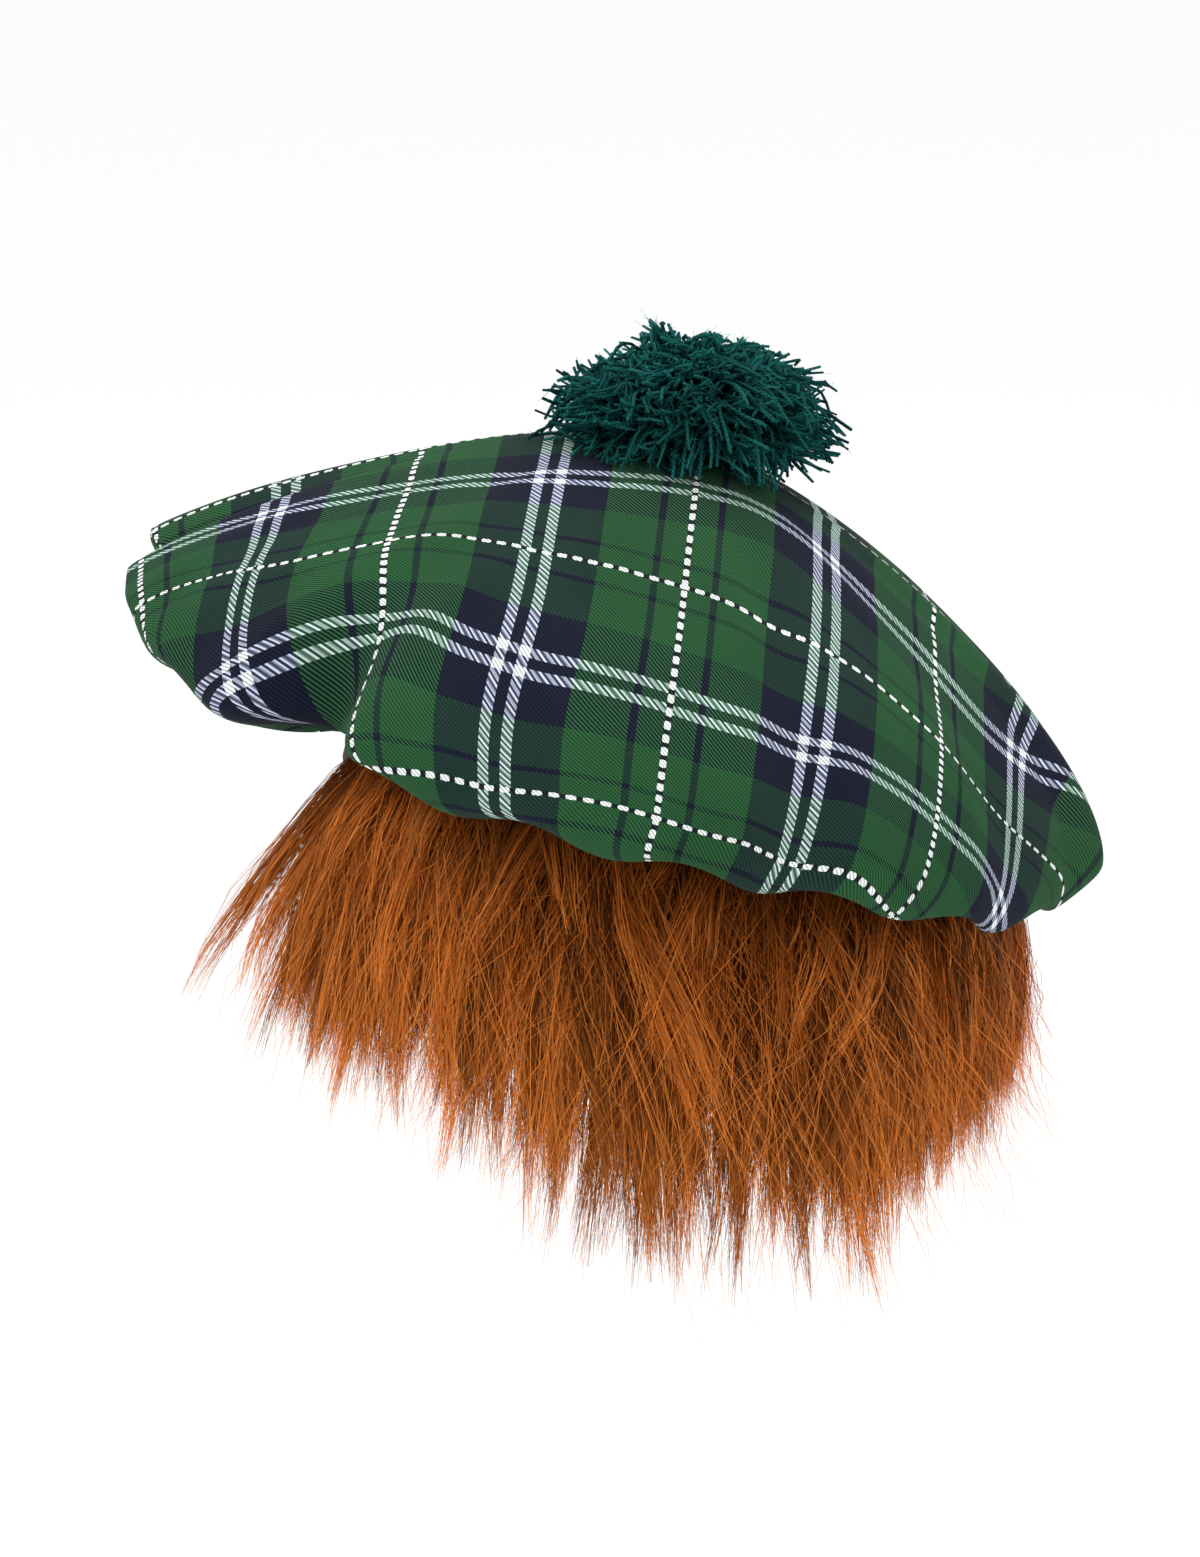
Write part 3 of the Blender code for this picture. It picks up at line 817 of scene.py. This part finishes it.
# Peaks where the yarn stands higher than the cushion it forms.
YARN_PEAKS = (
    # x, y, z of the direction, gain, spread
    (-0.36, -0.10, 0.94, 0.50, 0.19),
    (0.30, -0.15, 0.93, 0.20, 0.20),
    (0.68, 0.10, 0.62, 0.06, 0.22),
    (0.60, -0.60, -0.30, 0.06, 0.30),
)
FUZZ_PER_YARN = 3
FUZZ_POINTS = 4
FUZZ_FROM = 0.72
FUZZ_LENGTHS = (0.0012, 0.0032)
FUZZ_SPLAY = 0.55
FUZZ_CURL = 0.35
FUZZ_HALF_WIDTH = 0.00016
# The fibres' teals, lighter with their yarn's tone and its painted light.
FUZZ_TEALS_BY_TONE_AND_LIGHT = ((0.004, 0.150, 0.130, 1), (0.030, 0.330, 0.280, 1))
CORE_TEALS = ((0.001, 0.014, 0.014, 1), (0.004, 0.050, 0.048, 1))


def crown_height(x, y):
    """Height of the crown's outer face over a point of the ground."""
    azimuth = math.degrees(math.atan2(y, x + CROWN_FORWARD))
    rim_radius = ease_between(RIM_ROUND, azimuth % 360)[0] * CROWN_RADIUS
    radius = math.hypot(x + CROWN_FORWARD, y)
    out = (radius - SEAT_RADIUS) / (rim_radius - SEAT_RADIUS)
    return crown_top_point(azimuth, min(max(out, 0.0), 1.0)).z


rng = np.random.default_rng(7)
seat_height = BAND_HEIGHT + CROWN_RISE + SEWN_GAP
tied = np.array((-CROWN_FORWARD, 0, seat_height + CORE_SEATING * CORE_RADIUS))
upright = np.array(Matrix.Rotation(math.radians(BACKWARD_LEAN), 3, "Y"))

index = np.arange(TUFT_COUNT) + 0.5
polar = np.arccos(1 - TUFT_SPREAD * index / TUFT_COUNT)
turn = index * math.pi * (3 - math.sqrt(5))
tuft_ray = np.stack([np.sin(polar) * np.cos(turn), np.sin(polar) * np.sin(turn), np.cos(polar)], 1)
tuft_ray += rng.normal(0, TUFT_STRAY, tuft_ray.shape)
tuft_ray = tuft_ray @ np.array(Matrix.Rotation(math.radians(-TUFTS_TILT), 3, "Y"))
tuft_length = rng.uniform(*TUFT_LENGTHS, TUFT_COUNT)
tuft_bend = rng.normal(0, TUFT_BEND, (TUFT_COUNT, 3))
world_ray = np.repeat(tuft_ray, YARNS_PER_TUFT, 0) + rng.normal(0, YARN_STRAY, (YARN_COUNT, 3))
world_ray /= np.linalg.norm(world_ray, axis=1, keepdims=True)
half_width = POMPOM_WIDTH / 2 - FRAY_ALLOWANCE
across_share = np.hypot(world_ray[:, 0], world_ray[:, 1]) / half_width
upward_share = np.abs(world_ray[:, 2]) / CUSHION_HEIGHT
limit = (across_share**CUSHION_FULLNESS + upward_share**CUSHION_FULLNESS) ** (-1 / CUSHION_FULLNESS)
for *peak, gain, spread in YARN_PEAKS:
    apart = np.linalg.norm(world_ray - np.array(peak) / np.linalg.norm(peak), axis=1)
    limit *= 1 + gain * np.exp(-(apart**2) / (2 * spread**2))
reach = limit * np.repeat(tuft_length, YARNS_PER_TUFT) * rng.uniform(*YARN_LENGTHS, YARN_COUNT)
reach = np.minimum(reach, MOST_REACH * half_width)
ray = world_ray @ upright
share = np.linspace(0, 1, YARN_RINGS)[None, :, None]
root = tied + ray * CORE_RADIUS * YARN_ROOT
tip = tied + ray * reach[:, None]
drooped = (np.array((0, 0, -1.0)) @ upright) * (YARN_DROOP * reach)[:, None]
bend = np.repeat(tuft_bend, YARNS_PER_TUFT, 0) + rng.normal(0, YARN_BEND, (YARN_COUNT, 3))
bend = np.clip(bend, -MOST_BEND, MOST_BEND) * reach[:, None]
kink = rng.normal(0, YARN_KINK, (YARN_COUNT, YARN_RINGS, 3)) * share
paths = (
    root[:, None] * (1 - share)
    + tip[:, None] * share
    + bend[:, None] * np.sin(math.pi * share)
    + drooped[:, None] * share**3
    + kink
)
for path in paths:
    for point in path:
        lowest = crown_height(point[0], point[1]) + YARN_CLEARANCE
        if point[2] < lowest:
            point[2] = lowest + YARN_PILE * rng.random()

yarn_mesh = repeat(tube(YARN_SIDES, YARN_RINGS), YARN_COUNT)
widths = YARN_RADIUS * rng.uniform(*YARN_THICKNESS, (YARN_COUNT, 1)) * np.ones((1, YARN_RINGS))
widths *= rng.uniform(*YARN_UNEVENNESS, widths.shape)
widths[:, -1] *= CUT_END_WIDTH
# Tufts and yarns differ in tone, and those that point up are painted lighter, as the light falls on the
# pompom's top.
tones = 0.55 * np.repeat(rng.random(TUFT_COUNT), YARNS_PER_TUFT) + 0.35 * rng.random(YARN_COUNT)
tones = np.clip(tones - 0.12 + 0.5 * np.clip(world_ray[:, 2], 0, 1) ** 1.5, 0, 1)
lay_strands(yarn_mesh, paths, widths, rng.normal(0, 1, (YARN_COUNT, 3)), tones)

yarn_finish, tree, shader = new_finish("teal yarn", 0.85, 0.08, 0.0)
ply_place = node_after(tree, "ShaderNodeUVMap", uv_map="ply").outputs[0]
split = node_after(tree, "ShaderNodeSeparateXYZ", inputs={0: ply_place})
lengthwise = calc(tree, "MULTIPLY", split.outputs[1], 30.0)
strands = calc(tree, "ADD", calc(tree, "MULTIPLY", split.outputs[0], 3.0), lengthwise)
groove = calc(tree, "PINGPONG", strands, 0.5)
tone = node_after(tree, "ShaderNodeAttribute", attribute_name="tone").outputs["Fac"]
way = node_after(tree, "ShaderNodeAttribute", attribute_name="way").outputs["Fac"]
# Each yarn is painted darker towards its root, as shade deep inside the pompom.
root_shaded_teal = blended(
    tree, calc(tree, "POWER", way, 2.6), YARN_ROOT_SHADE_TEAL, blended(tree, tone, *YARN_TEALS_BY_TONE_AND_LIGHT)
)
# The grooves between the plies are painted darker as shade, and the bump gives their relief.
tree.links.new(
    blended(tree, calc(tree, "MULTIPLY", groove, 1.7), YARN_GROOVE_SHADE_TEAL, root_shaded_teal),
    shader.inputs["Base Color"],
)
raise_surface(tree, shader, groove, 0.0005, 0.9)
yarn = add_piece("pompom_yarn", yarn_mesh, yarn_finish)
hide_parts("pompom")


def ribbon(points):
    """A flat strip of unit length with a row of vertices at each of its points."""
    bm = bmesh.new()
    bmesh.ops.create_grid(bm, x_segments=1, y_segments=points - 1, size=0.5)
    for vert in bm.verts:
        vert.co = Vector((vert.co.x, 0, vert.co.y + 0.5))
    return bm


# Loose fibres fray from the last part of each yarn.
fuzz_count = YARN_COUNT * FUZZ_PER_YARN
owner = np.repeat(np.arange(YARN_COUNT), FUZZ_PER_YARN)
leave = rng.uniform(FUZZ_FROM, 1.0, fuzz_count)
place_along = leave * (YARN_RINGS - 1)
low = np.minimum(place_along.astype(int), YARN_RINGS - 2)
part = (place_along - low)[:, None]
start = paths[owner, low] * (1 - part) + paths[owner, low + 1] * part
heading = paths[owner, -1] - paths[owner, -2]
heading /= np.linalg.norm(heading, axis=1, keepdims=True)
splay = heading + rng.normal(0, FUZZ_SPLAY, (fuzz_count, 3))
splay /= np.linalg.norm(splay, axis=1, keepdims=True)
length = rng.uniform(*FUZZ_LENGTHS, fuzz_count)[:, None]
share = np.linspace(0, 1, FUZZ_POINTS)[None, :, None]
fuzz_paths = start[:, None] + (splay * length)[:, None] * share
fuzz_paths += (rng.normal(0, FUZZ_CURL, (fuzz_count, 3)) * length)[:, None] * share**2
fuzz_mesh = repeat(ribbon(FUZZ_POINTS), fuzz_count)
lay_strands(
    fuzz_mesh,
    fuzz_paths,
    np.full((fuzz_count, FUZZ_POINTS), FUZZ_HALF_WIDTH) * np.linspace(1, 0.4, FUZZ_POINTS),
    rng.normal(0, 1, (fuzz_count, 3)),
    tones[owner],
)
fuzz_finish, tree, shader = new_finish("teal fibre", 0.8, 0.1, 0.0)
tone = node_after(tree, "ShaderNodeAttribute", attribute_name="tone").outputs["Fac"]
# The fibres take their yarn's tone, painted lighter on the ends that point up.
tree.links.new(blended(tree, tone, *FUZZ_TEALS_BY_TONE_AND_LIGHT), shader.inputs["Base Color"])
add_piece("pompom_fuzz", fuzz_mesh, fuzz_finish)

# The tied middle, which the yarn hides, closes the pompom under its ends.
bm = bmesh.new()
bmesh.ops.create_icosphere(bm, subdivisions=4, radius=CORE_RADIUS)
for vert in bm.verts:
    vert.co *= 1 + 0.12 * noise.noise(vert.co * 300)
    vert.co += Vector(tied)
    vert.co.z = max(vert.co.z, seat_height)
core_mesh = bpy.data.meshes.new("pompom_core")
bm.to_mesh(core_mesh)
bm.free()
core_finish, tree, shader = new_finish("teal core", 0.95, 0.1, 0.1)
place = node_after(tree, "ShaderNodeTexCoord").outputs["Object"]
packed = noise_of(tree, place, 900.0, 2.0)
tree.links.new(blended(tree, packed, *CORE_TEALS), shader.inputs["Base Color"])
raise_surface(tree, shader, packed, 0.0008)
add_piece("pompom_core", core_mesh, core_finish)


# ---------------------------------------------------------------------------------------
# Hair fringe: ginger fake fur, long fine fibres in soft pointed clumps on a knitted
# backing strip sewn round the headband, open at the forehead.
HAIR_LENGTH = 0.124
HAIR_FLARE = 0.020
HAIR_END = 153
BACKING_WALL = 0.0016
BACKING_LOW = 0.002
BACKING_GAP = 0.0004
BACKING_BROWNS = ((0.050, 0.016, 0.006, 1), (0.110, 0.040, 0.014, 1))
HAIR_SECTIONS = (
    # azimuth, shares of length and flare, forward sweep as a share of the length, swell
    (0, 0.45, 0.40, 0.00, 4.0),
    (30, 0.54, 0.48, 0.00, 4.0),
    (60, 0.84, 0.70, 0.02, 3.6),
    (90, 1.00, 0.85, 0.05, 3.2),
    (120, 0.80, 1.10, 0.14, 2.2),
    (138, 0.78, 1.42, 0.20, 1.3),
    (153, 0.80, 2.00, 0.26, 1.05),
)
HAIR_PIECES = (
    ("hair_left_front", -153, -88),
    ("hair_left_back", -88, 0),
    ("hair_right_back", 0, 88),
    ("hair_right_front", 88, 153),
)
CLUMPS = 170
HAIRS_PER_CLUMP = 59
FLYAWAYS = 2700
HAIR_STEPS = 7
HAIR_HALF_WIDTH = 0.00031
# The far side's hair beside the forehead falls closer to the head.
FAR_FLARE = 0.55
FAR_FLARE_FROM = 100
# Locks that stand clear of the rest by the forehead, over the wearer's left temple.
TEMPLE_LOCKS = (
    # azimuth, layer, length share, tilt, lift
    (-152.8, 0.9, 0.93, 0.00, 1.42),
    (-152.4, 0.7, 0.89, 0.01, 1.36),
    (-152.0, 0.5, 0.70, 0.04, 1.36),
    (-151.5, 0.8, 0.66, 0.00, 1.28),
    (-150.0, 0.7, 0.84, -0.03, 1.18),
    (-149.5, 0.5, 0.80, -0.02, 1.12),
    (-148.0, 0.8, 0.72, 0.02, 1.16),
    (-146.0, 0.9, 0.70, -0.03, 1.05),
    (-145.0, 0.6, 0.64, -0.02, 1.00),
    (-140.0, 0.8, 0.98, -0.04, 0.84),
    (-139.0, 0.5, 0.92, -0.04, 0.80),
    (-134.0, 0.8, 1.08, -0.05, 0.74),
    (-112.0, 0.8, 1.14, -0.12, 0.60),
)
TEMPLE_TONES = (0.45, 0.75)
# The most that hair leans any way, and forward at an azimuth: little by the open forehead.
MOST_LEAN = 0.8
MOST_FORWARD = ((90, 0.5), (130, 0.03))
# Some clumps from the backing's upper part are a shorter top coat that stands out more.
TOP_COAT_ABOVE = 0.55
TOP_COAT_SHARE = 0.45
TOP_COAT_LENGTHS = (0.30, 0.70)
TOP_COAT_TILT = 0.30
TOP_COAT_LIFT = 0.25
TOP_COAT_TONES = (0.50, 1.05)
UNDER_COAT_LENGTHS = (0.72, 1.02)
UNDER_COAT_TILT = 0.13
UNDER_COAT_TONES = (-0.30, 0.80)
CLUMP_LIFTS = (0.45, 1.08)
CLUMP_WAVES = (3.0, 6.0)
CLUMP_SIDE_WAVE = (0.0006, 0.0032)
CLUMP_OUT_WAVE = (0.0004, 0.0020)
# Neighbouring clumps lean alike, over about so many degrees.
NEIGHBOUR_TILT = 0.22
NEIGHBOUR_SPREAD = 9
# Hairs start round their clump's own root and close in on its middle line, loose ones less.
ROOT_SPREAD_ROUND = 2.4
ROOT_SPREAD_UP = 0.16
LOOSE_SHARE = 0.22
LOOSE_CLOSING = 0.25
CLUMP_CLOSING = 0.78
LOOSE_FRIZZ = (0.0010, 0.0042)
CLUMP_FRIZZ = (0.0004, 0.0014)
FRIZZ_WAVES = (5.0, 11.0)
HAIR_BOW = 0.0016
HAIR_LENGTHS = (0.76, 0.995)
HAIR_WIDTHS = (0.55, 1.15)
HAIR_TONE_SPREAD = 0.27
HAIR_TAPER = ((0, 0.7), (0.25, 1), (0.75, 0.92), (1, 0.25))
FLYAWAY_LENGTHS = (0.25, 1.0)
FLYAWAY_TILT = (-0.02, 0.38)
FLYAWAY_MOST_BACK = -0.65
FLYAWAY_LIFTS = (0.6, 1.24)
FLYAWAY_WAVES = (3.0, 9.0)
FLYAWAY_SIDE_WAVE = (0.002, 0.008)
FLYAWAY_OUT_WAVE = (0.001, 0.004)
FLYAWAY_TONES = (0.35, 1.0)
FLYAWAY_WIDTHS = (0.5, 0.8)
# The hair's colour down its length, darker towards the root with painted shade under the crown's rim,
# and what the darkest and the lightest hairs multiply it by at the root and at the tip.
HAIR_COLOURS_AND_ROOT_SHADE = (
    (0.0, (0.050, 0.012, 0.002, 1)),
    (0.35, (0.320, 0.078, 0.009, 1)),
    (1.0, (0.560, 0.172, 0.027, 1)),
)
ROOT_TONES = ((0.13, 0.10, 0.07, 1), (1.95, 2.02, 2.30, 1))
TIP_TONES = ((0.58, 0.52, 0.44, 1), (1.80, 1.86, 2.05, 1))

bm = bmesh.new()
backing_high = BAND_HEIGHT - SEAM_OVERLAP - SEWN_GAP
azimuths = bm.verts.layers.float.new("azimuth")
bmesh.ops.create_grid(bm, x_segments=150, y_segments=6, size=1)
for vert in bm.verts:
    vert[azimuths] = vert.co.x * HAIR_END
    height = BACKING_LOW + (backing_high - BACKING_LOW) * (vert.co.y + 1) / 2
    vert.co = Vector((*band_outline(vert[azimuths], BAND_WALL + SEWN_GAP + BACKING_WALL / 2), height))
backing_mesh = bpy.data.meshes.new("hair_backing")
bm.to_mesh(backing_mesh)
bm.free()
backing_finish, tree, shader = new_finish("knitted backing", 0.95, 0.1, 0.1)
place = node_after(tree, "ShaderNodeTexCoord").outputs["Object"]
knit = node_after(
    tree, "ShaderNodeTexWave", inputs={"Vector": place, "Scale": 320.0, "Distortion": 2.0, "Detail": 1.0}
).outputs[1]
tree.links.new(blended(tree, knit, *BACKING_BROWNS), shader.inputs["Base Color"])
raise_surface(tree, shader, knit, 0.0003)
backing = add_piece("hair_backing", backing_mesh, backing_finish)
cloth = backing.modifiers.new("backing wall", "SOLIDIFY")
cloth.thickness = BACKING_WALL - BACKING_GAP
cloth.offset = 0
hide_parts("hair_fringe")

hair_finish, tree, shader = new_finish("ginger fibre", 0.42, 0.20, 0.0)
shader.inputs["Specular Tint"].default_value = (1.0, 0.66, 0.38, 1)
tone = node_after(tree, "ShaderNodeAttribute", attribute_name="tone").outputs["Fac"]
way = node_after(tree, "ShaderNodeAttribute", attribute_name="way").outputs["Fac"]
# The ramp paints shade on the hair near its root, under the crown's rim.
ramp = node_after(tree, "ShaderNodeValToRGB", inputs={0: way})
stops = ramp.color_ramp
stops.elements[0].position, stops.elements[0].color = HAIR_COLOURS_AND_ROOT_SHADE[0]
stops.elements[1].position, stops.elements[1].color = HAIR_COLOURS_AND_ROOT_SHADE[2]
stops.elements.new(HAIR_COLOURS_AND_ROOT_SHADE[1][0]).color = HAIR_COLOURS_AND_ROOT_SHADE[1][1]
at_root = blended(tree, tone, *ROOT_TONES)
at_tip = blended(tree, tone, *TIP_TONES)
lighter = blended(tree, calc(tree, "POWER", way, 2.5), at_root, at_tip)
tree.links.new(blended(tree, 1.0, ramp.outputs[0], lighter, "MULTIPLY"), shader.inputs["Base Color"])

down = np.array((0, 0, -1.0)) @ upright
rng = np.random.default_rng(11)
share = np.linspace(0, 1, HAIR_STEPS) ** 0.9
root_offset = BAND_WALL + SEWN_GAP + BACKING_WALL


def backing_point(turns, layer):
    """Points of the backing's outer face, up from 0 at its foot to 1 at its top."""
    return np.stack(
        [
            (HEAD_LENGTH / 2 + root_offset) * np.cos(turns),
            (HEAD_WIDTH / 2 + root_offset) * np.sin(turns),
            BACKING_LOW + (backing_high - BACKING_LOW) * layer,
        ],
        -1,
    )


def comb_lines(azimuth, layer, length_share, tilt, lift):
    """Lines down the hair from the backing, one for each azimuth, leaning by a tilt."""
    rows = np.array(HAIR_SECTIONS)
    length, flare, sweep, swell = (
        np.interp(np.abs(azimuth), rows[:, 0], rows[:, column]) for column in range(1, 5)
    )
    turns = np.radians(azimuth)
    radial = np.stack([np.cos(turns) / HEAD_LENGTH, np.sin(turns) / HEAD_WIDTH, 0 * turns], -1)
    radial /= np.linalg.norm(radial, axis=1, keepdims=True)
    forward = np.stack([-radial[:, 1], radial[:, 0], 0 * turns], -1) * np.sign(azimuth)[:, None]
    length = (length * HAIR_LENGTH * length_share)[:, None]
    lean = np.clip(sweep + tilt, -MOST_LEAN, MOST_LEAN)[:, None]
    far_side = np.where(azimuth > FAR_FLARE_FROM, FAR_FLARE, 1)
    out = (far_side * flare * HAIR_FLARE * lift * length_share**0.7)[:, None]
    out = out * (1 - (1 - share) ** swell[:, None])
    side = length * lean * share**1.15
    fall = length * np.sqrt(1 - lean**2) * share**1.25
    line = out[..., None] * radial[:, None] + side[..., None] * forward[:, None] + fall[..., None] * down
    return backing_point(turns, layer)[:, None] + line, radial[:, None], forward[:, None]


def waves(count, low, high, amount):
    """Waves of the hair along its length, of a few frequencies, for each line."""
    total = 0
    for pitch in (1.0, 2.1):
        turns = share * rng.uniform(low, high, (count, 1)) * pitch + rng.uniform(0, 6.3, (count, 1))
        total = total + np.sin(turns) / pitch
    return (amount[:, None] * total * share**0.8)[..., None]


def most_forward(azimuth):
    """The most that hair leans forward at an azimuth."""
    return np.interp(np.abs(azimuth), *zip(*MOST_FORWARD))


for hair_name, start, end in HAIR_PIECES:
    # clumps: a middle line for each, and hairs that keep to it in a narrowing bundle
    azimuth = rng.uniform(start, end, CLUMPS)
    layer = rng.random(CLUMPS)
    top_coat = (layer > TOP_COAT_ABOVE) & (rng.random(CLUMPS) < TOP_COAT_SHARE)
    length_share = np.where(
        top_coat, rng.uniform(*TOP_COAT_LENGTHS, CLUMPS), rng.uniform(*UNDER_COAT_LENGTHS, CLUMPS)
    )
    tilt = rng.normal(0, 1, CLUMPS) * np.where(top_coat, TOP_COAT_TILT, UNDER_COAT_TILT)
    tilt += [
        NEIGHBOUR_TILT * noise.noise(Vector((turned / NEIGHBOUR_SPREAD, 0, 3))) for turned in azimuth
    ]
    tilt = np.minimum(tilt, most_forward(azimuth))
    lift = rng.uniform(*CLUMP_LIFTS, CLUMPS) + np.where(top_coat, TOP_COAT_LIFT, 0.0)
    if start == -HAIR_END:
        clump_values = (azimuth, layer, length_share, tilt, lift)
        for values, column in zip(clump_values, np.array(TEMPLE_LOCKS).T):
            values[: len(TEMPLE_LOCKS)] = column
    middle, radial, forward = comb_lines(azimuth, layer, length_share, tilt, lift)
    middle = middle + waves(CLUMPS, *CLUMP_WAVES, rng.uniform(*CLUMP_SIDE_WAVE, CLUMPS)) * forward
    middle = middle + waves(CLUMPS, *CLUMP_WAVES, rng.uniform(*CLUMP_OUT_WAVE, CLUMPS)) * radial
    owner = np.repeat(np.arange(CLUMPS), HAIRS_PER_CLUMP)
    count = len(owner)
    own_azimuth = azimuth[owner] + rng.normal(0, ROOT_SPREAD_ROUND, count)
    own_azimuth = np.clip(own_azimuth, -HAIR_END, HAIR_END)
    own_layer = np.clip(layer[owner] + rng.normal(0, ROOT_SPREAD_UP, count), 0, 1)
    apart = backing_point(np.radians(own_azimuth), own_layer) - middle[owner, 0]
    loose = rng.random(count) < LOOSE_SHARE
    narrowing = 1 - np.where(loose, LOOSE_CLOSING, CLUMP_CLOSING)[:, None] * share
    paths = middle[owner] + apart[:, None] * narrowing[..., None]
    frizz = np.where(loose, rng.uniform(*LOOSE_FRIZZ, count), rng.uniform(*CLUMP_FRIZZ, count))
    paths += waves(count, *FRIZZ_WAVES, frizz) * forward[owner]
    paths += waves(count, *FRIZZ_WAVES, 0.7 * frizz) * radial[owner]
    bow = rng.normal(0, HAIR_BOW, (count, 1, 1)) * np.sin(math.pi * share)[None, :, None]
    paths += bow * radial[owner]
    own_length = rng.uniform(*HAIR_LENGTHS, (count, 1))
    steps = own_length * (HAIR_STEPS - 1) * np.linspace(0, 1, HAIR_STEPS)
    low = np.minimum(steps.astype(int), HAIR_STEPS - 2)
    part = (steps - low)[..., None]
    rows = np.arange(count)[:, None]
    paths = paths[rows, low] * (1 - part) + paths[rows, low + 1] * part
    sideways = forward[owner, 0] + rng.normal(0, 0.8, (count, 1)) * radial[owner, 0]
    clump_tone = np.where(
        top_coat, rng.uniform(*TOP_COAT_TONES, CLUMPS), rng.uniform(*UNDER_COAT_TONES, CLUMPS)
    )
    if start == -HAIR_END:
        clump_tone[: len(TEMPLE_LOCKS)] = rng.uniform(*TEMPLE_TONES, len(TEMPLE_LOCKS))
    tones = np.clip(clump_tone[owner] + rng.normal(0, HAIR_TONE_SPREAD, count), 0, 1)
    half_widths = HAIR_HALF_WIDTH * rng.uniform(*HAIR_WIDTHS, count)

    # flyaways: fine single hairs that curl across the clumps
    azimuth = rng.uniform(start, end, FLYAWAYS)
    layer = rng.random(FLYAWAYS)
    stray, radial, forward = comb_lines(
        azimuth,
        layer,
        rng.uniform(*FLYAWAY_LENGTHS, FLYAWAYS),
        np.clip(rng.normal(*FLYAWAY_TILT, FLYAWAYS), FLYAWAY_MOST_BACK, most_forward(azimuth)),
        rng.uniform(*FLYAWAY_LIFTS, FLYAWAYS),
    )
    side_wave = rng.uniform(*FLYAWAY_SIDE_WAVE, FLYAWAYS)
    stray = stray + waves(FLYAWAYS, *FLYAWAY_WAVES, side_wave) * forward
    out_wave = rng.uniform(*FLYAWAY_OUT_WAVE, FLYAWAYS)
    stray = stray + waves(FLYAWAYS, *FLYAWAY_WAVES, out_wave) * radial
    paths = np.concatenate([paths, stray])
    sideways = np.concatenate([sideways, rng.normal(0, 1, (FLYAWAYS, 3))])
    tones = np.concatenate([tones, rng.uniform(*FLYAWAY_TONES, FLYAWAYS) ** 0.8])
    fine_widths = HAIR_HALF_WIDTH * rng.uniform(*FLYAWAY_WIDTHS, FLYAWAYS)
    half_widths = np.concatenate([half_widths, fine_widths])

    hair_mesh = repeat(ribbon(HAIR_STEPS), len(paths))
    taper = np.interp(share, *zip(*HAIR_TAPER))
    lay_strands(hair_mesh, paths, half_widths[:, None] * taper, sideways, tones)
    add_piece(hair_name, hair_mesh, hair_finish)
